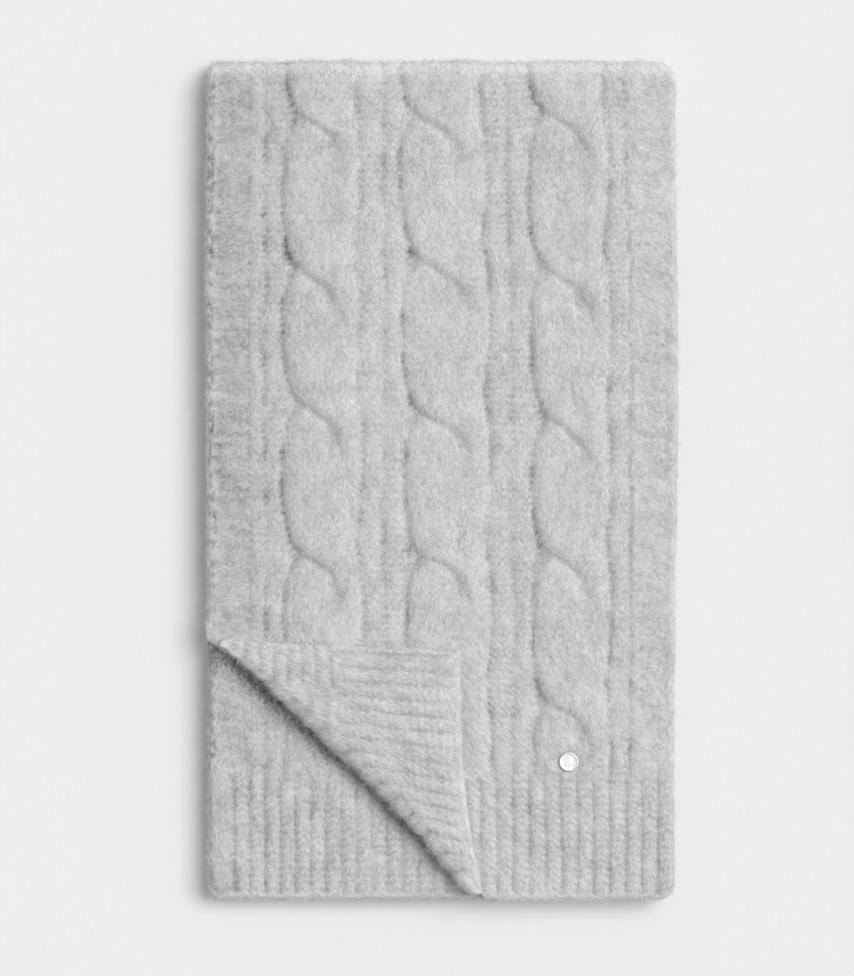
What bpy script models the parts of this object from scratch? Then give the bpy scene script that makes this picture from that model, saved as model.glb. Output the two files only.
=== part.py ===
"""Knit scarf, folded in four layers and lying flat, with one corner of the front turned back.

The scarf is one knitted strip. Its front stretch carries three cables between ribs and garter
borders, ends in a ribbed hem and runs over the top fold to the underside. The second stretch runs
inside that fold. The two layers under them are one rounded solid with layered edges.

Lengths are millimetres, scaled to metres when a mesh is made. "across" runs from the left selvedge
to the right one, "along" from the hem at the near end to the top fold, "height" up from the floor.
"""

from collections import namedtuple
import math

import bmesh
import bpy

MM = 0.001

# The folded scarf
WIDTH = 296.7  # selvedge to selvedge
LENGTH = 528.6  # hem to top fold
SEAM = 0.3  # clearance where two solids meet
LAYER = 5.6  # one layer where others lie on it
SECOND_FLOOR = 2 * LAYER + 0.9  # plain side of the second stretch
FRONT_FLOOR = SECOND_FLOOR + LAYER + SEAM  # plain side of the front stretch
FRONT_WALL = 4.6  # the front's knit between its raised stitches
HEM_LENGTH = 74.5  # depth of the ribbed end
HEM_FADE = 13.0  # the raised knitting settles to the ribs' height over this length

# Raised knitting, above the plain wall
CABLE_RISE = 3.6
RIB_RISE = 1.3
RIB_SQUARENESS = 0.7  # the power of a rib's sine: below 1 its sides are steeper
GARTER_RISE = 0.6
POINT_GAP = 1.0  # points that come from two tables never lie closer together than this

# A cable's strands at stations above and below a crossing: where the front strand starts and the
# rear strand's cap ends, as shares of the cable's width
Crease = namedtuple("Crease", "along front cap")
CREASE = (
    Crease(-36.0, 0.80, 0.66),
    Crease(-24.0, 0.76, 0.62),
    Crease(-16.0, 0.68, 0.60),
    Crease(-9.0, 0.56, 0.54),
    Crease(-4.0, 0.42, 0.42),
    Crease(0.0, 0.30, 0.30),
    Crease(3.0, 0.20, 0.20),
    Crease(9.5, 0.11, 0.11),
    Crease(19.0, 0.04, 0.04),
    Crease(36.0, 0.00, 0.00),
)
CREASE_FADES = -14.0  # below this the crease grows shallow
CREASE_GONE = -38.0  # and here the strands lie together as one ridge
STRAND_ROUND = 11.0  # how far a strand's edge is rounded
STRAND_LOW = 0.15  # share of a cable's height between its strands
CAP_HEIGHT = 0.90
CAP_ROUND = 9.0
CAP_LENGTH = 20.0  # from the cap's tip to where it fills the cable's left side

# Soft edges and corners
EDGE_ROUND = 3.5
EDGE_STEPS = (0.0, 1.2, EDGE_ROUND)
CORNER_STEPS = (0.0, 1.2, EDGE_ROUND, 8.0, 14.0)
CORNER_REACH = 30.0  # a corner's rounding dies out over this length

# The top fold
WRAP_HEIGHT = SECOND_FLOOR - SEAM  # centre of both wraps
WRAP_STEPS = 8
WRAP_LIP = 20.0  # how far each wrap runs back under the stack
WRAP_RISE = 0.5  # share of the raised knitting left at the fold's edge
FOLD_REACH = FRONT_FLOOR - WRAP_HEIGHT + (FRONT_WALL + LAYER) / 2 + WRAP_RISE * CABLE_RISE
TURN = LENGTH - FOLD_REACH  # where the layers start to turn over
ROW_PITCH = 8.2
HIDDEN_PITCH = 49.2  # rows under the front
LAYERS_PITCH = 32.8  # rows of the hidden layers

# The turned-back corner
FLAP_WALL = 5.0
FLAP_UNDER = FRONT_FLOOR + FRONT_WALL + CABLE_RISE + SEAM
FLAP_RISE = 1.1
FLAP_BODY = 0.5  # share of that rise beyond the hem
FLAP_STEPS = (0.0, 1.2, EDGE_ROUND, 14.0, 32.0, 50.0, 66.0, 75.0, 84.0, 104.0, 126.0)
ROLL_STEPS = 6
ROLL_KEY = LENGTH  # sorts a line's points on the roll after its flat ones
ROLL_SKEW = 11.7  # the selvedge creeps this far along the fold as it rolls over
LIP = 1.0

# Fold line of the corner, as (across, along) points on its outermost edge
FOLD_START = (1.4, 162.9)
FOLD_END = (166.3, 3.8)
FOLD_BOW = 6.8
FLAP_CORNER = (160.6, 156.9)
LINE_END_TURN = 0.8  # how far the last sections turn, to end nearly in line with the hem
LINE_TURN_START = 0.75  # share of the fold where they start to turn
HEM_CURVE = 2.6  # the corner's hem runs straight and turns to the fold near its end

# Ribbed hems
Ribs = namedtuple("Ribs", "first_groove pitch")
FRONT_RIBS = Ribs(first_groove=9.8, pitch=10.24)
SECOND_RIBS = Ribs(first_groove=6.95, pitch=9.75)
FLAP_RIBS = Ribs(first_groove=13.9, pitch=9.8)
RIB_STEPS = (0.0, 0.3, 0.7)

# A hem's rows, along the knitting, on its raised side and on its plain side
HemRow = namedtuple("HemRow", "outer inner")
HEM_ROWS = (
    HemRow(0.0, 1.2),
    HemRow(1.2, 2.4),
    HemRow(EDGE_ROUND, EDGE_ROUND),
    HemRow(8.0, 8.0),
    HemRow(14.0, 14.0),
    HemRow(25.0, 25.0),
    HemRow(37.0, 37.0),
    HemRow(49.0, 49.0),
    HemRow(61.0, 61.0),
    HemRow(HEM_LENGTH - SEAM, HEM_LENGTH - SEAM),
)

# Stud
STUD_CENTRE = (229.2, 87.0)
STUD_RADIUS = 6.15
STUD_FLAT = 15.0  # the knit lies plain this far round the stud
STUD_FADE = 7.0
STUD_SEAT = 1.6  # height of that plain knit above the wall
STUD_SIDES = 32

# Bands of knitting across the front: where each starts and ends at the hem and at the top fold
Band = namedtuple("Band", "kind hem_left hem_right top_left top_right")
BANDS = (
    Band("garter", 4.5, 26.5, 4.5, 26.5),
    Band("rib", 27.7, 36.0, 27.7, 36.0),
    Band("rib", 38.4, 47.5, 38.4, 47.5),
    Band("cable", 49.5, 97.5, 49.5, 96.5),
    Band("rib", 99.0, 112.0, 99.0, 111.0),
    Band("rib", 114.0, 127.0, 113.0, 121.0),
    Band("cable", 130.0, 180.5, 123.0, 175.0),
    Band("rib", 183.0, 194.5, 177.5, 188.0),
    Band("rib", 197.0, 206.5, 190.5, 201.5),
    Band("cable", 208.5, 256.0, 205.0, 252.5),
    Band("rib", 258.5, 268.5, 255.0, 264.5),
    Band("garter", 271.0, 289.0, 267.0, 287.5),
)
BAND_STEPS = {
    "garter": (0.08, 0.92),
    "rib": (0.28, 0.72),
    "cable": (0.06, 0.16, 0.28, 0.4, 0.52, 0.64, 0.76, 0.87, 0.95),
}

# How far along each cable's crossings lie, the lowest first
Crossing = namedtuple("Crossing", "cable_1 cable_2 cable_3")
CROSSINGS = (
    Crossing(122.0, 121.0, 122.0),
    Crossing(216.7, 213.6, 214.8),
    Crossing(310.0, 304.9, 300.5),
    Crossing(394.4, 400.0, 393.8),
    Crossing(490.8, 492.0, 491.4),
)

# The selvedges' drift, outwards positive, at stations along the length
Edge = namedtuple("Edge", "along left right")
EDGES = (
    Edge(0.0, -1.6, -2.2),
    Edge(75.0, -1.2, -1.6),
    Edge(150.0, -1.0, -1.0),
    Edge(170.0, -0.2, -0.8),
    Edge(250.0, 0.0, -0.2),
    Edge(350.0, 0.4, 0.4),
    Edge(440.0, 0.2, 0.0),
    Edge(LENGTH, -1.0, -0.8),
)
CORNER_RADII = {"hem_left": 7.0, "hem_right": 9.5, "top_left": 5.0, "top_right": 11.0}

Row = namedtuple("Row", "keys points")


def smooth(share):
    """An S-curve from 0 to 1."""
    share = min(max(share, 0.0), 1.0)
    return share * share * (3.0 - 2.0 * share)


def mix(start, end, share):
    return start + (end - start) * share


def table_value(rows, along, column):
    """Reads one column of a table whose rows are sorted by 'along'."""
    for low, high in zip(rows, rows[1:]):
        if along <= high.along:
            share = max(0.0, (along - low.along) / (high.along - low.along))
            return mix(getattr(low, column), getattr(high, column), share)
    return getattr(rows[-1], column)


def corner_rise(distance, radius):
    """How far a rounded corner draws its edge in, at a distance from the side."""
    inside = max(0.0, radius - distance)
    return radius - math.sqrt(radius * radius - inside * inside)


def plan(across, along):
    """Places a point of the flat layout on the folded scarf, with its soft outline."""
    left = -table_value(EDGES, along, "left")
    right = WIDTH + table_value(EDGES, along, "right")
    x = mix(left, right, across / WIDTH)
    near = max(0.0, 1.0 - along / CORNER_REACH)
    far = max(0.0, 1.0 - (LENGTH - along) / CORNER_REACH)
    y = along
    y += near * corner_rise(max(across, 0.0), CORNER_RADII["hem_left"])
    y += near * corner_rise(max(WIDTH - across, 0.0), CORNER_RADII["hem_right"])
    y -= far * corner_rise(max(across, 0.0), CORNER_RADII["top_left"])
    y -= far * corner_rise(max(WIDTH - across, 0.0), CORNER_RADII["top_right"])
    return x - WIDTH / 2, y - LENGTH / 2


def place(across, along, height):
    """A point of the flat layout, at a height above the floor."""
    x, y = plan(across, along)
    return (x, y, height)


def bulge(distance, radius):
    """A soft edge's roundness: a quarter circle, 0 at the edge and 1 from the radius inwards."""
    inside = 1.0 - min(max(distance / radius, 0.0), 1.0)
    return math.sqrt(1.0 - inside * inside)


def edge_share(distance):
    """Share of the wall's thickness at a distance from a soft edge: half at the edge itself."""
    return 0.5 + 0.5 * bulge(distance, EDGE_ROUND)


# Raised knitting


def band_at(band, along):
    share = along / LENGTH
    left = mix(band.hem_left, band.top_left, share)
    return left, mix(band.hem_right, band.top_right, share)


def cable_shape(share, offset, width):
    """Height of a cable from 0 to 1. Its two strands change sides at each crossing.

    share runs across the cable, offset from the crossing up along the scarf. The front strand
    fills the cable right of the crease between them. The rear strand comes out from under it as a
    rounded cap on the left. Lower down the crease grows shallow and both lie as one ridge.
    """
    front_left = table_value(CREASE, offset, "front")
    cap_right = table_value(CREASE, offset, "cap")
    right = bulge((1.0 - share) * width, STRAND_ROUND)
    front = bulge((share - front_left) * width, STRAND_ROUND) * right
    out = 1.0 - min(max(-offset / CAP_LENGTH, 0.0), 1.0)
    cap_left = table_value(CREASE, 0.0, "cap") * (1.0 - math.sqrt(1.0 - out * out))
    room = min(share - cap_left, cap_right - share) * width if offset < 0.0 else 0.0
    apart = max(front, CAP_HEIGHT * bulge(room, CAP_ROUND), STRAND_LOW)
    one = bulge(share * width, STRAND_ROUND) * right
    return mix(apart, one, smooth((CREASE_FADES - offset) / (CREASE_FADES - CREASE_GONE)))


def nearest_crossing(name, along):
    offsets = [along - getattr(row, name) for row in CROSSINGS]
    return min(offsets, key=abs)


def knit_rise(across, along):
    """Height of the raised knitting on the front's body."""
    cables = 0
    rise = 0.0
    for band in BANDS:
        cables += band.kind == "cable"
        left, right = band_at(band, along)
        share = (across - left) / (right - left)
        if not 0.0 <= share <= 1.0:
            continue
        if band.kind == "cable":
            offset = nearest_crossing(f"cable_{cables}", along)
            rise = CABLE_RISE * cable_shape(share, offset, right - left)
        elif band.kind == "rib":
            rise = RIB_RISE * math.sin(math.pi * share) ** RIB_SQUARENESS
        else:
            rise = GARTER_RISE
    return rise


def body_columns(along, limit=WIDTH):
    """Where the body's points lie across: each band's own steps and the groove beside it."""
    columns = []
    last_right = EDGE_ROUND
    for band in BANDS:
        left, right = band_at(band, along)
        columns.append((last_right + left) / 2)
        columns += [mix(left, right, step) for step in BAND_STEPS[band.kind]]
        last_right = right
    columns.append(last_right + POINT_GAP)
    return [across for across in columns if EDGE_ROUND < across < min(limit, WIDTH - EDGE_ROUND)]


def rib_rise(ribs, across):
    """Height of a ribbed hem from 0 to 1, level beyond the rib before the first groove."""
    if across < ribs.first_groove - ribs.pitch:
        return 1.0
    turn = math.pi * (across - ribs.first_groove) / ribs.pitch
    return abs(math.sin(turn)) ** RIB_SQUARENESS


def rib_columns(ribs, start, end):
    columns = []
    count = math.ceil((end - start) / ribs.pitch)
    for rib in range(count):
        for step in RIB_STEPS:
            columns.append(start + (rib + step) * ribs.pitch)
    return [across for across in columns if across < end]


# The fold of the turned-back corner


def fold_frame():
    """Unit vectors along the fold, towards the hem, and out from it, towards the lower left."""
    run = math.dist(FOLD_START, FOLD_END)
    along = ((FOLD_END[0] - FOLD_START[0]) / run, (FOLD_END[1] - FOLD_START[1]) / run)
    return along, (along[1], -along[0])


FOLD_ALONG, FOLD_OUT = fold_frame()
ROLL_INNER = (FLAP_UNDER - FRONT_FLOOR - FLAP_WALL) / 2
ROLL_OUTER = ROLL_INNER + FLAP_WALL


def roll_direction(share):
    """The way a section of the roll faces, from square to the fold to level with the hem."""
    turn = LINE_END_TURN * smooth((share - LINE_TURN_START) / (1.0 - LINE_TURN_START))
    return tuple(out - turn * run for out, run in zip(FOLD_OUT, FOLD_ALONG))


def skew_at(share):
    """How far along the fold the cloth creeps as it rolls over, less towards the hem."""
    return ROLL_SKEW * (1.0 - share)


def roll_top(share):
    """Where the corner's cloth leaves the roll, for a share of the way down the fold."""
    bow = 4 * FOLD_BOW * share * (1 - share)
    facing = roll_direction(share)
    edge = [mix(a, b, share) for a, b in zip(FOLD_START, FOLD_END)]
    return tuple(
        edge[i] - bow * FOLD_OUT[i] - ROLL_OUTER * facing[i] + skew_at(share) / 2 * FOLD_ALONG[i]
        for i in range(2)
    )


def lip_end(share, setback=0.0):
    """Where the rolled cloth meets the front stretch, set back towards the front."""
    top = roll_top(share)
    facing = roll_direction(share)
    return tuple(
        top[i] - skew_at(share) * FOLD_ALONG[i] - (LIP + setback) * facing[i] for i in range(2)
    )


CUT_STATIONS = 40
CUT_LINE = [lip_end(station / CUT_STATIONS, SEAM) for station in range(CUT_STATIONS + 1)]
CUT_TOP = CUT_LINE[0][1] + CUT_LINE[0][0]  # the cut runs on at 45 degrees to the selvedge


def cut_at(along):
    """How far across the front stretch starts, below the turned-back corner's fold."""
    line = [(0.0, CUT_TOP)] + CUT_LINE
    for (near, high), (far, low) in zip(line, line[1:]):
        if low <= along <= high:
            return mix(far, near, (along - low) / (high - low))
    return line[-1][0] + line[-1][1] - along if along < line[-1][1] else 0.0


# Meshes


def bridge(faces, first, second, start_a, start_b):
    """Joins two rows of points with triangles, taking the points of both in order of their keys."""
    a = 0
    b = 0
    while a < len(first.keys) - 1 or b < len(second.keys) - 1:
        next_a = first.keys[a + 1] if a < len(first.keys) - 1 else math.inf
        next_b = second.keys[b + 1] if b < len(second.keys) - 1 else math.inf
        if next_a <= next_b:
            faces.append((start_a + a, start_a + a + 1, start_b + b))
            a += 1
        if next_b <= next_a:
            faces.append((start_a + a, start_b + b + 1, start_b + b))
            b += 1


def wall(name, outer, inner, material):
    """A closed wall of cloth: outer rows over inner rows, joined round all four edges."""
    rows = outer + inner[::-1]
    starts = []
    points = []
    for row in rows:
        starts.append(len(points))
        points += row.points
    faces = []
    for i, row in enumerate(rows):
        following = (i + 1) % len(rows)
        bridge(faces, row, rows[following], starts[i], starts[following])
    ends = [start + len(row.points) - 1 for start, row in zip(starts, rows)]
    for side, flip in ((starts, False), (ends, True)):
        for i in range(len(outer) - 1):
            low, high = side[i], side[i + 1]
            under_low, under_high = side[-1 - i], side[-2 - i]
            face = (low, high, under_high, under_low)
            faces.append(face[::-1] if flip else face)
    return solid(name, points, faces, material)


def solid(name, points, faces, material):
    mesh = bpy.data.meshes.new(name)
    mesh.from_pydata([[value * MM for value in point] for point in points], [], faces)
    body = bmesh.new()
    body.from_mesh(mesh)
    bmesh.ops.recalc_face_normals(body, faces=body.faces)
    body.to_mesh(mesh)
    body.free()
    mesh.materials.append(material)
    mesh.shade_smooth()
    mesh.set_sharp_from_angle(angle=math.radians(50))
    obj = bpy.data.objects.new(name, mesh)
    bpy.context.scene.collection.objects.link(obj)
    return obj


def finish(name, color, roughness, metallic=0.0):
    material = bpy.data.materials.new(name)
    material.use_nodes = True
    shader = material.node_tree.nodes["Principled BSDF"]
    shader.inputs["Base Color"].default_value = (*color, 1.0)
    shader.inputs["Roughness"].default_value = roughness
    shader.inputs["Metallic"].default_value = metallic
    return material


# Front stretch and its hem


def wrap_point(across, path, floor, wall_depth):
    """A point of a layer that runs flat, over the top fold and back under the stack."""
    inner = floor - WRAP_HEIGHT
    if path <= TURN:
        return place(across, path, floor + wall_depth)
    arc = (inner + LAYER / 2) * math.pi
    angle = math.pi * min(1.0, (path - TURN) / arc)
    reach = inner + wall_depth
    back = max(0.0, path - TURN - arc)
    along = TURN + reach * math.sin(angle) - back
    return place(across, along, WRAP_HEIGHT + reach * math.cos(angle))


def wrap_paths(floor):
    """Stations of a layer's path round the top fold and back to the end of its lip."""
    arc = (floor - WRAP_HEIGHT + LAYER / 2) * math.pi
    turns = [TURN + arc * step / WRAP_STEPS for step in range(1, WRAP_STEPS + 1)]
    return turns + [TURN + arc + WRAP_LIP]


def wrap_progress(path, floor):
    """How far round the top fold a station is, from 0 to 1."""
    arc = (floor - WRAP_HEIGHT + LAYER / 2) * math.pi
    return min(1.0, max(0.0, (path - TURN) / arc))


def front_depth(across, path):
    """The front's thickness: wall and raised knitting, plain again on the underside."""
    share = wrap_progress(path, FRONT_FLOOR)
    side = min(across, WIDTH - across) if path > CUT_TOP else WIDTH - across
    rise = knit_rise(across, min(path, LENGTH))
    from_stud = math.dist((across, path), STUD_CENTRE)
    rise = mix(RIB_RISE, rise, smooth((path - HEM_LENGTH) / HEM_FADE))
    rise = mix(STUD_SEAT, rise, smooth((from_stud - STUD_FLAT) / STUD_FADE))
    rise *= mix(1.0, WRAP_RISE, smooth(2 * share)) * (1.0 - smooth(2 * share - 1.0))
    rise *= smooth(side / (2 * EDGE_ROUND))
    return (mix(FRONT_WALL, LAYER, smooth(share)) + rise) * edge_share(side)


def spread(start, end, pitch):
    """Evenly spaced stations from start to end, both included, about a pitch apart."""
    count = max(1, round((end - start) / pitch))
    return [mix(start, end, step / count) for step in range(count + 1)]


def front_row_columns(path):
    right = [WIDTH - step for step in reversed(CORNER_STEPS)]
    chart = body_columns(min(path, LENGTH), WIDTH - EDGE_ROUND)
    if path >= CUT_TOP:
        left = list(CORNER_STEPS)
    else:
        left = [cut_at(path)]
    inner = [a for a in chart if left[-1] + POINT_GAP < a < right[0] - POINT_GAP]
    outer_right = [a for a in right if a > left[-1] + POINT_GAP]
    return left + inner + outer_right


def build_front_stretch(material):
    paths = spread(HEM_LENGTH, CUT_TOP, ROW_PITCH) + spread(CUT_TOP, TURN, ROW_PITCH)[1:]
    paths += wrap_paths(FRONT_FLOOR)
    outer = []
    inner = []
    for path in paths:
        columns = front_row_columns(path)
        points = [
            wrap_point(across, path, FRONT_FLOOR, front_depth(across, path)) for across in columns
        ]
        outer.append(Row(columns, points))
        last = path in (paths[0], paths[-1])
        inset = EDGE_STEPS[1] if path >= CUT_TOP else 0.0
        ends = [columns[0] + inset, *columns[1:-1], columns[-1] - EDGE_STEPS[1]]
        if not last:
            corners = CORNER_STEPS[1:] if path >= CUT_TOP else [columns[0]]
            ends = [*corners, *(WIDTH - step for step in reversed(CORNER_STEPS[1:]))]
        inner.append(Row(ends, [wrap_point(across, path, FRONT_FLOOR, 0.0) for across in ends]))
    return wall("front_stretch", outer, inner, material)


def build_hem(name, floor, depth_at, columns_at, start_at, material):
    """A ribbed end: a wall with soft outer edges whose top meets the stretch above it."""
    outer = []
    inner = []
    for row in HEM_ROWS:
        columns = columns_at(row.outer)
        points = [place(a, row.outer, floor + depth_at(a, row.outer)) for a in columns]
        outer.append(Row(columns, points))
        start = start_at(row.outer)
        ends = [start, *(WIDTH - step for step in reversed(CORNER_STEPS[1:]))]
        if row in (HEM_ROWS[0], HEM_ROWS[-1]):
            ends = [start, *columns[1:-1], WIDTH - EDGE_STEPS[1]]
        inner.append(Row(ends, [place(across, row.inner, floor) for across in ends]))
    return wall(name, outer, inner, material)


def front_hem_columns(along):
    start = cut_at(along)
    right = [WIDTH - step for step in reversed(CORNER_STEPS)]
    ribs = rib_columns(FRONT_RIBS, FRONT_RIBS.first_groove, right[0] - POINT_GAP)
    return [start] + [across for across in ribs if across > start + POINT_GAP] + right


def front_hem_depth(across, along):
    rise = RIB_RISE * rib_rise(FRONT_RIBS, across) * smooth(along / EDGE_ROUND)
    rise *= smooth((WIDTH - across) / (2 * EDGE_ROUND))
    return (FRONT_WALL + rise) * edge_share(min(along, WIDTH - across))


# Second stretch and its hem, raised only where they show


def shows(across, along):
    """1 where the second stretch shows, left of the turned-back corner's fold."""
    return 1.0 - smooth((across - cut_at(along) + ROLL_OUTER) / ROLL_OUTER)


def second_depth(across, path):
    """The second stretch's thickness: its grooves are sunk, so that the front lies on it flat."""
    side = min(across, WIDTH - across)
    raised = min(1.0, knit_rise(across, min(path, LENGTH)) / RIB_RISE)
    seen = shows(across, path) * smooth((CUT_TOP - path) / EDGE_ROUND)
    sunk = RIB_RISE * (1.0 - raised) * seen
    return (LAYER - sunk) * edge_share(side)


def second_row_columns(path):
    left = list(CORNER_STEPS)
    right = [WIDTH - step for step in reversed(CORNER_STEPS)]
    if path < CUT_TOP:
        chart = body_columns(path, cut_at(path) + POINT_GAP)
        left += [a for a in chart if a > left[-1] + POINT_GAP]
    return left + right


def build_second_stretch(material):
    paths = spread(HEM_LENGTH, CUT_TOP, ROW_PITCH) + spread(CUT_TOP, TURN, HIDDEN_PITCH)[1:]
    paths += wrap_paths(SECOND_FLOOR)
    outer = []
    inner = []
    for path in paths:
        columns = second_row_columns(path)
        depths = [second_depth(across, path) for across in columns]
        points = [wrap_point(a, path, SECOND_FLOOR, d) for a, d in zip(columns, depths)]
        outer.append(Row(columns, points))
        ends = [*CORNER_STEPS[1:], *(WIDTH - step for step in reversed(CORNER_STEPS[1:]))]
        if path in (paths[0], paths[-1]):
            ends = [CORNER_STEPS[1], *columns[1:-1], WIDTH - CORNER_STEPS[1]]
        inner.append(Row(ends, [wrap_point(across, path, SECOND_FLOOR, 0.0) for across in ends]))
    return wall("second_stretch", outer, inner, material)


def second_hem_columns(along):
    right = [WIDTH - step for step in reversed(CORNER_STEPS)]
    ribs = rib_columns(SECOND_RIBS, SECOND_RIBS.first_groove, cut_at(along) + POINT_GAP)
    return list(EDGE_STEPS) + [a for a in ribs if a > EDGE_ROUND + POINT_GAP] + right


def second_hem_depth(across, along):
    sunk = RIB_RISE * (1.0 - rib_rise(SECOND_RIBS, across)) * shows(across, along)
    side = min(across, WIDTH - across, along)
    return (LAYER - sunk) * edge_share(side)


# Turned-back corner


def flap_rise(across, from_hem):
    """Raised ribs of the wrong side, which end where the hem does."""
    beyond = smooth((from_hem - HEM_LENGTH) / EDGE_ROUND)
    return FLAP_RISE * max(rib_rise(FLAP_RIBS, across) * (1.0 - beyond), FLAP_BODY * beyond)


def flap_line(share, depth):
    """One rib of the corner, from its hem end to the fold, round the roll and under to the lip.

    share is how far down the fold the rib lies. depth(across, from_hem) is the thickness outside
    the plain side that faces the front stretch, or None for that plain side itself.
    """
    across = share * (FLAP_CORNER[1] - FOLD_END[1])
    top = roll_top(share)
    end = roll_top(1.0)
    hem = (mix(FLAP_CORNER[0], end[0], share**HEM_CURVE), mix(FLAP_CORNER[1], end[1], share))
    run = math.dist(hem, top)
    facing = roll_direction(share)
    keys = []
    points = []
    steps = FLAP_STEPS if depth else (EDGE_STEPS[1],)
    for step in steps:
        if step > run - EDGE_ROUND and step > 0.0:
            continue
        at = [mix(a, b, min(1.0, step / max(run, 1e-6))) for a, b in zip(hem, top)]
        keys.append(step)
        points.append(place(*at, FLAP_UNDER + (depth(across, step) if depth else 0.0)))
    centre = FLAP_UNDER - ROLL_INNER
    for step in range(ROLL_STEPS + 1):
        angle = math.pi * step / ROLL_STEPS
        fade = 1.0 - smooth((step / ROLL_STEPS - 0.5) * 2)
        extra = depth(across, run) - FLAP_WALL if depth else 0.0
        reach = ROLL_INNER + (FLAP_WALL + extra * fade if depth else 0.0)
        reach = min(reach, ROLL_OUTER) if step == ROLL_STEPS else reach
        at = [
            top[i] - skew_at(share) * step / ROLL_STEPS * FOLD_ALONG[i]
            + reach * math.sin(angle) * facing[i]
            for i in range(2)
        ]
        keys.append(ROLL_KEY + step)
        points.append(place(*at, centre + reach * math.cos(angle)))
    keys.append(ROLL_KEY + ROLL_STEPS + 1)
    lip_height = FRONT_FLOOR if depth else FRONT_FLOOR + FLAP_WALL
    points.append(place(*lip_end(share), lip_height))
    return Row(keys, points)


def flap_depth(across, from_hem):
    side = min(across, from_hem)
    rise = flap_rise(across, from_hem) * smooth(side / EDGE_ROUND)
    return (FLAP_WALL + rise) * edge_share(side)


def build_turned_corner(material):
    height = FLAP_CORNER[1] - FOLD_END[1]
    ribs = rib_columns(FLAP_RIBS, FLAP_RIBS.first_groove, height - 2 * EDGE_ROUND)
    lines = [*EDGE_STEPS, EDGE_STEPS[-1] + EDGE_ROUND, *ribs, height]
    outer = [flap_line(line / height, flap_depth) for line in lines]
    inner = [flap_line(max(line, EDGE_STEPS[1]) / height, None) for line in lines]
    return wall("turned_corner", outer, inner, material)


# Hidden layers: one rounded solid whose sides show the edges of two layers

LOBE_ANGLES = (-90.0, -50.0, 0.0, 50.0, 90.0)
LOBE_DEPTH = 3.2  # how far the groove between the two layers goes in
LOBE_INSET = 0.8  # the hidden layers' edges lie this far inside the outline
END_ANGLES = (80.0, 60.0, 30.0, 0.0)
END_INSET = 3.0


def layered_ring(along, squash, groove):
    """The section of two layers, level on top and below, with two rounded lobes at each side."""
    middle = SECOND_FLOOR / 2 - SEAM / 2
    half = middle / 2
    ring = []
    for lobe_centre, angles in ((half, LOBE_ANGLES[:-1]), (middle + half, LOBE_ANGLES)):
        for angle in angles:
            turn = math.radians(angle)
            height = lobe_centre + half * math.sin(turn)
            depth = LOBE_DEPTH * (1.0 - math.cos(turn))
            if abs(height - middle) < SEAM:
                depth *= groove
            ring.append((depth + LOBE_INSET, middle + (height - middle) * squash))
    right = [place(WIDTH - depth, along, height) for depth, height in ring]
    left = [place(depth, along, height) for depth, height in reversed(ring)]
    return right + left


def build_folded_layers(material):
    radius = SECOND_FLOOR / 2
    start = END_INSET + radius
    end = TURN - WRAP_LIP - SEAM
    rings = []
    for angle in END_ANGLES:
        turn = math.radians(angle)
        rings.append(layered_ring(start - radius * math.sin(turn), math.cos(turn), 1.0 - angle / 90))
    for along in spread(start, end, LAYERS_PITCH)[1:]:
        rings.append(layered_ring(along, 1.0, 1.0))
    size = len(rings[0])
    points = [point for ring in rings for point in ring]
    faces = []
    for level in range(len(rings) - 1):
        for i in range(size):
            following = (i + 1) % size
            low = level * size
            faces.append((low + i, low + following, low + size + following, low + size + i))
    faces.append(tuple(range(size)))
    faces.append(tuple(range(len(points) - size, len(points))))
    return solid("folded_layers", points, faces, material)


# Stud: a shallow metal dish with a rolled rim

StudRing = namedtuple("StudRing", "inset height")
STUD_RINGS = (
    StudRing(0.55, 0.0),
    StudRing(0.0, 0.45),
    StudRing(0.0, 0.9),
    StudRing(0.4, 1.25),
    StudRing(0.95, 1.3),
    StudRing(1.45, 1.1),
    StudRing(3.15, 0.95),
)
STUD_MIDDLE = 0.9


def build_stud(material):
    x, y = plan(*STUD_CENTRE)
    seat = FRONT_FLOOR + FRONT_WALL + STUD_SEAT + SEAM
    points = []
    faces = []
    for level, ring in enumerate(STUD_RINGS):
        for side in range(STUD_SIDES):
            turn = 2 * math.pi * side / STUD_SIDES
            radius = STUD_RADIUS - ring.inset
            at = (x + radius * math.cos(turn), y + radius * math.sin(turn))
            points.append((*at, seat + ring.height))
            if level:
                low = (level - 1) * STUD_SIDES
                following = (side + 1) % STUD_SIDES
                top = low + STUD_SIDES
                faces.append((low + side, low + following, top + following, top + side))
    middle = len(points)
    points.append((x, y, seat + STUD_MIDDLE))
    top = middle - STUD_SIDES
    for side in range(STUD_SIDES):
        faces.append((top + side, top + (side + 1) % STUD_SIDES, middle))
    faces.append(tuple(range(STUD_SIDES)))
    return solid("stud", points, faces, material)


def main():
    for obj in list(bpy.data.objects):
        bpy.data.objects.remove(obj, do_unlink=True)
    knit = finish("brushed_knit", (0.55, 0.55, 0.55), 0.95)
    wrong_side = finish("brushed_knit_wrong_side", (0.56, 0.56, 0.56), 0.95)
    hidden = finish("brushed_knit_hidden", (0.48, 0.48, 0.48), 0.95)
    metal = finish("polished_metal", (0.85, 0.85, 0.86), 0.25, 1.0)
    build_front_stretch(knit)
    build_hem(
        "front_hem", FRONT_FLOOR, front_hem_depth, front_hem_columns, cut_at, knit
    )
    build_turned_corner(wrong_side)
    build_second_stretch(knit)
    build_hem(
        "second_hem",
        SECOND_FLOOR,
        second_hem_depth,
        second_hem_columns,
        lambda along: EDGE_STEPS[1],
        knit,
    )
    build_folded_layers(hidden)
    build_stud(metal)


main()
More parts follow.
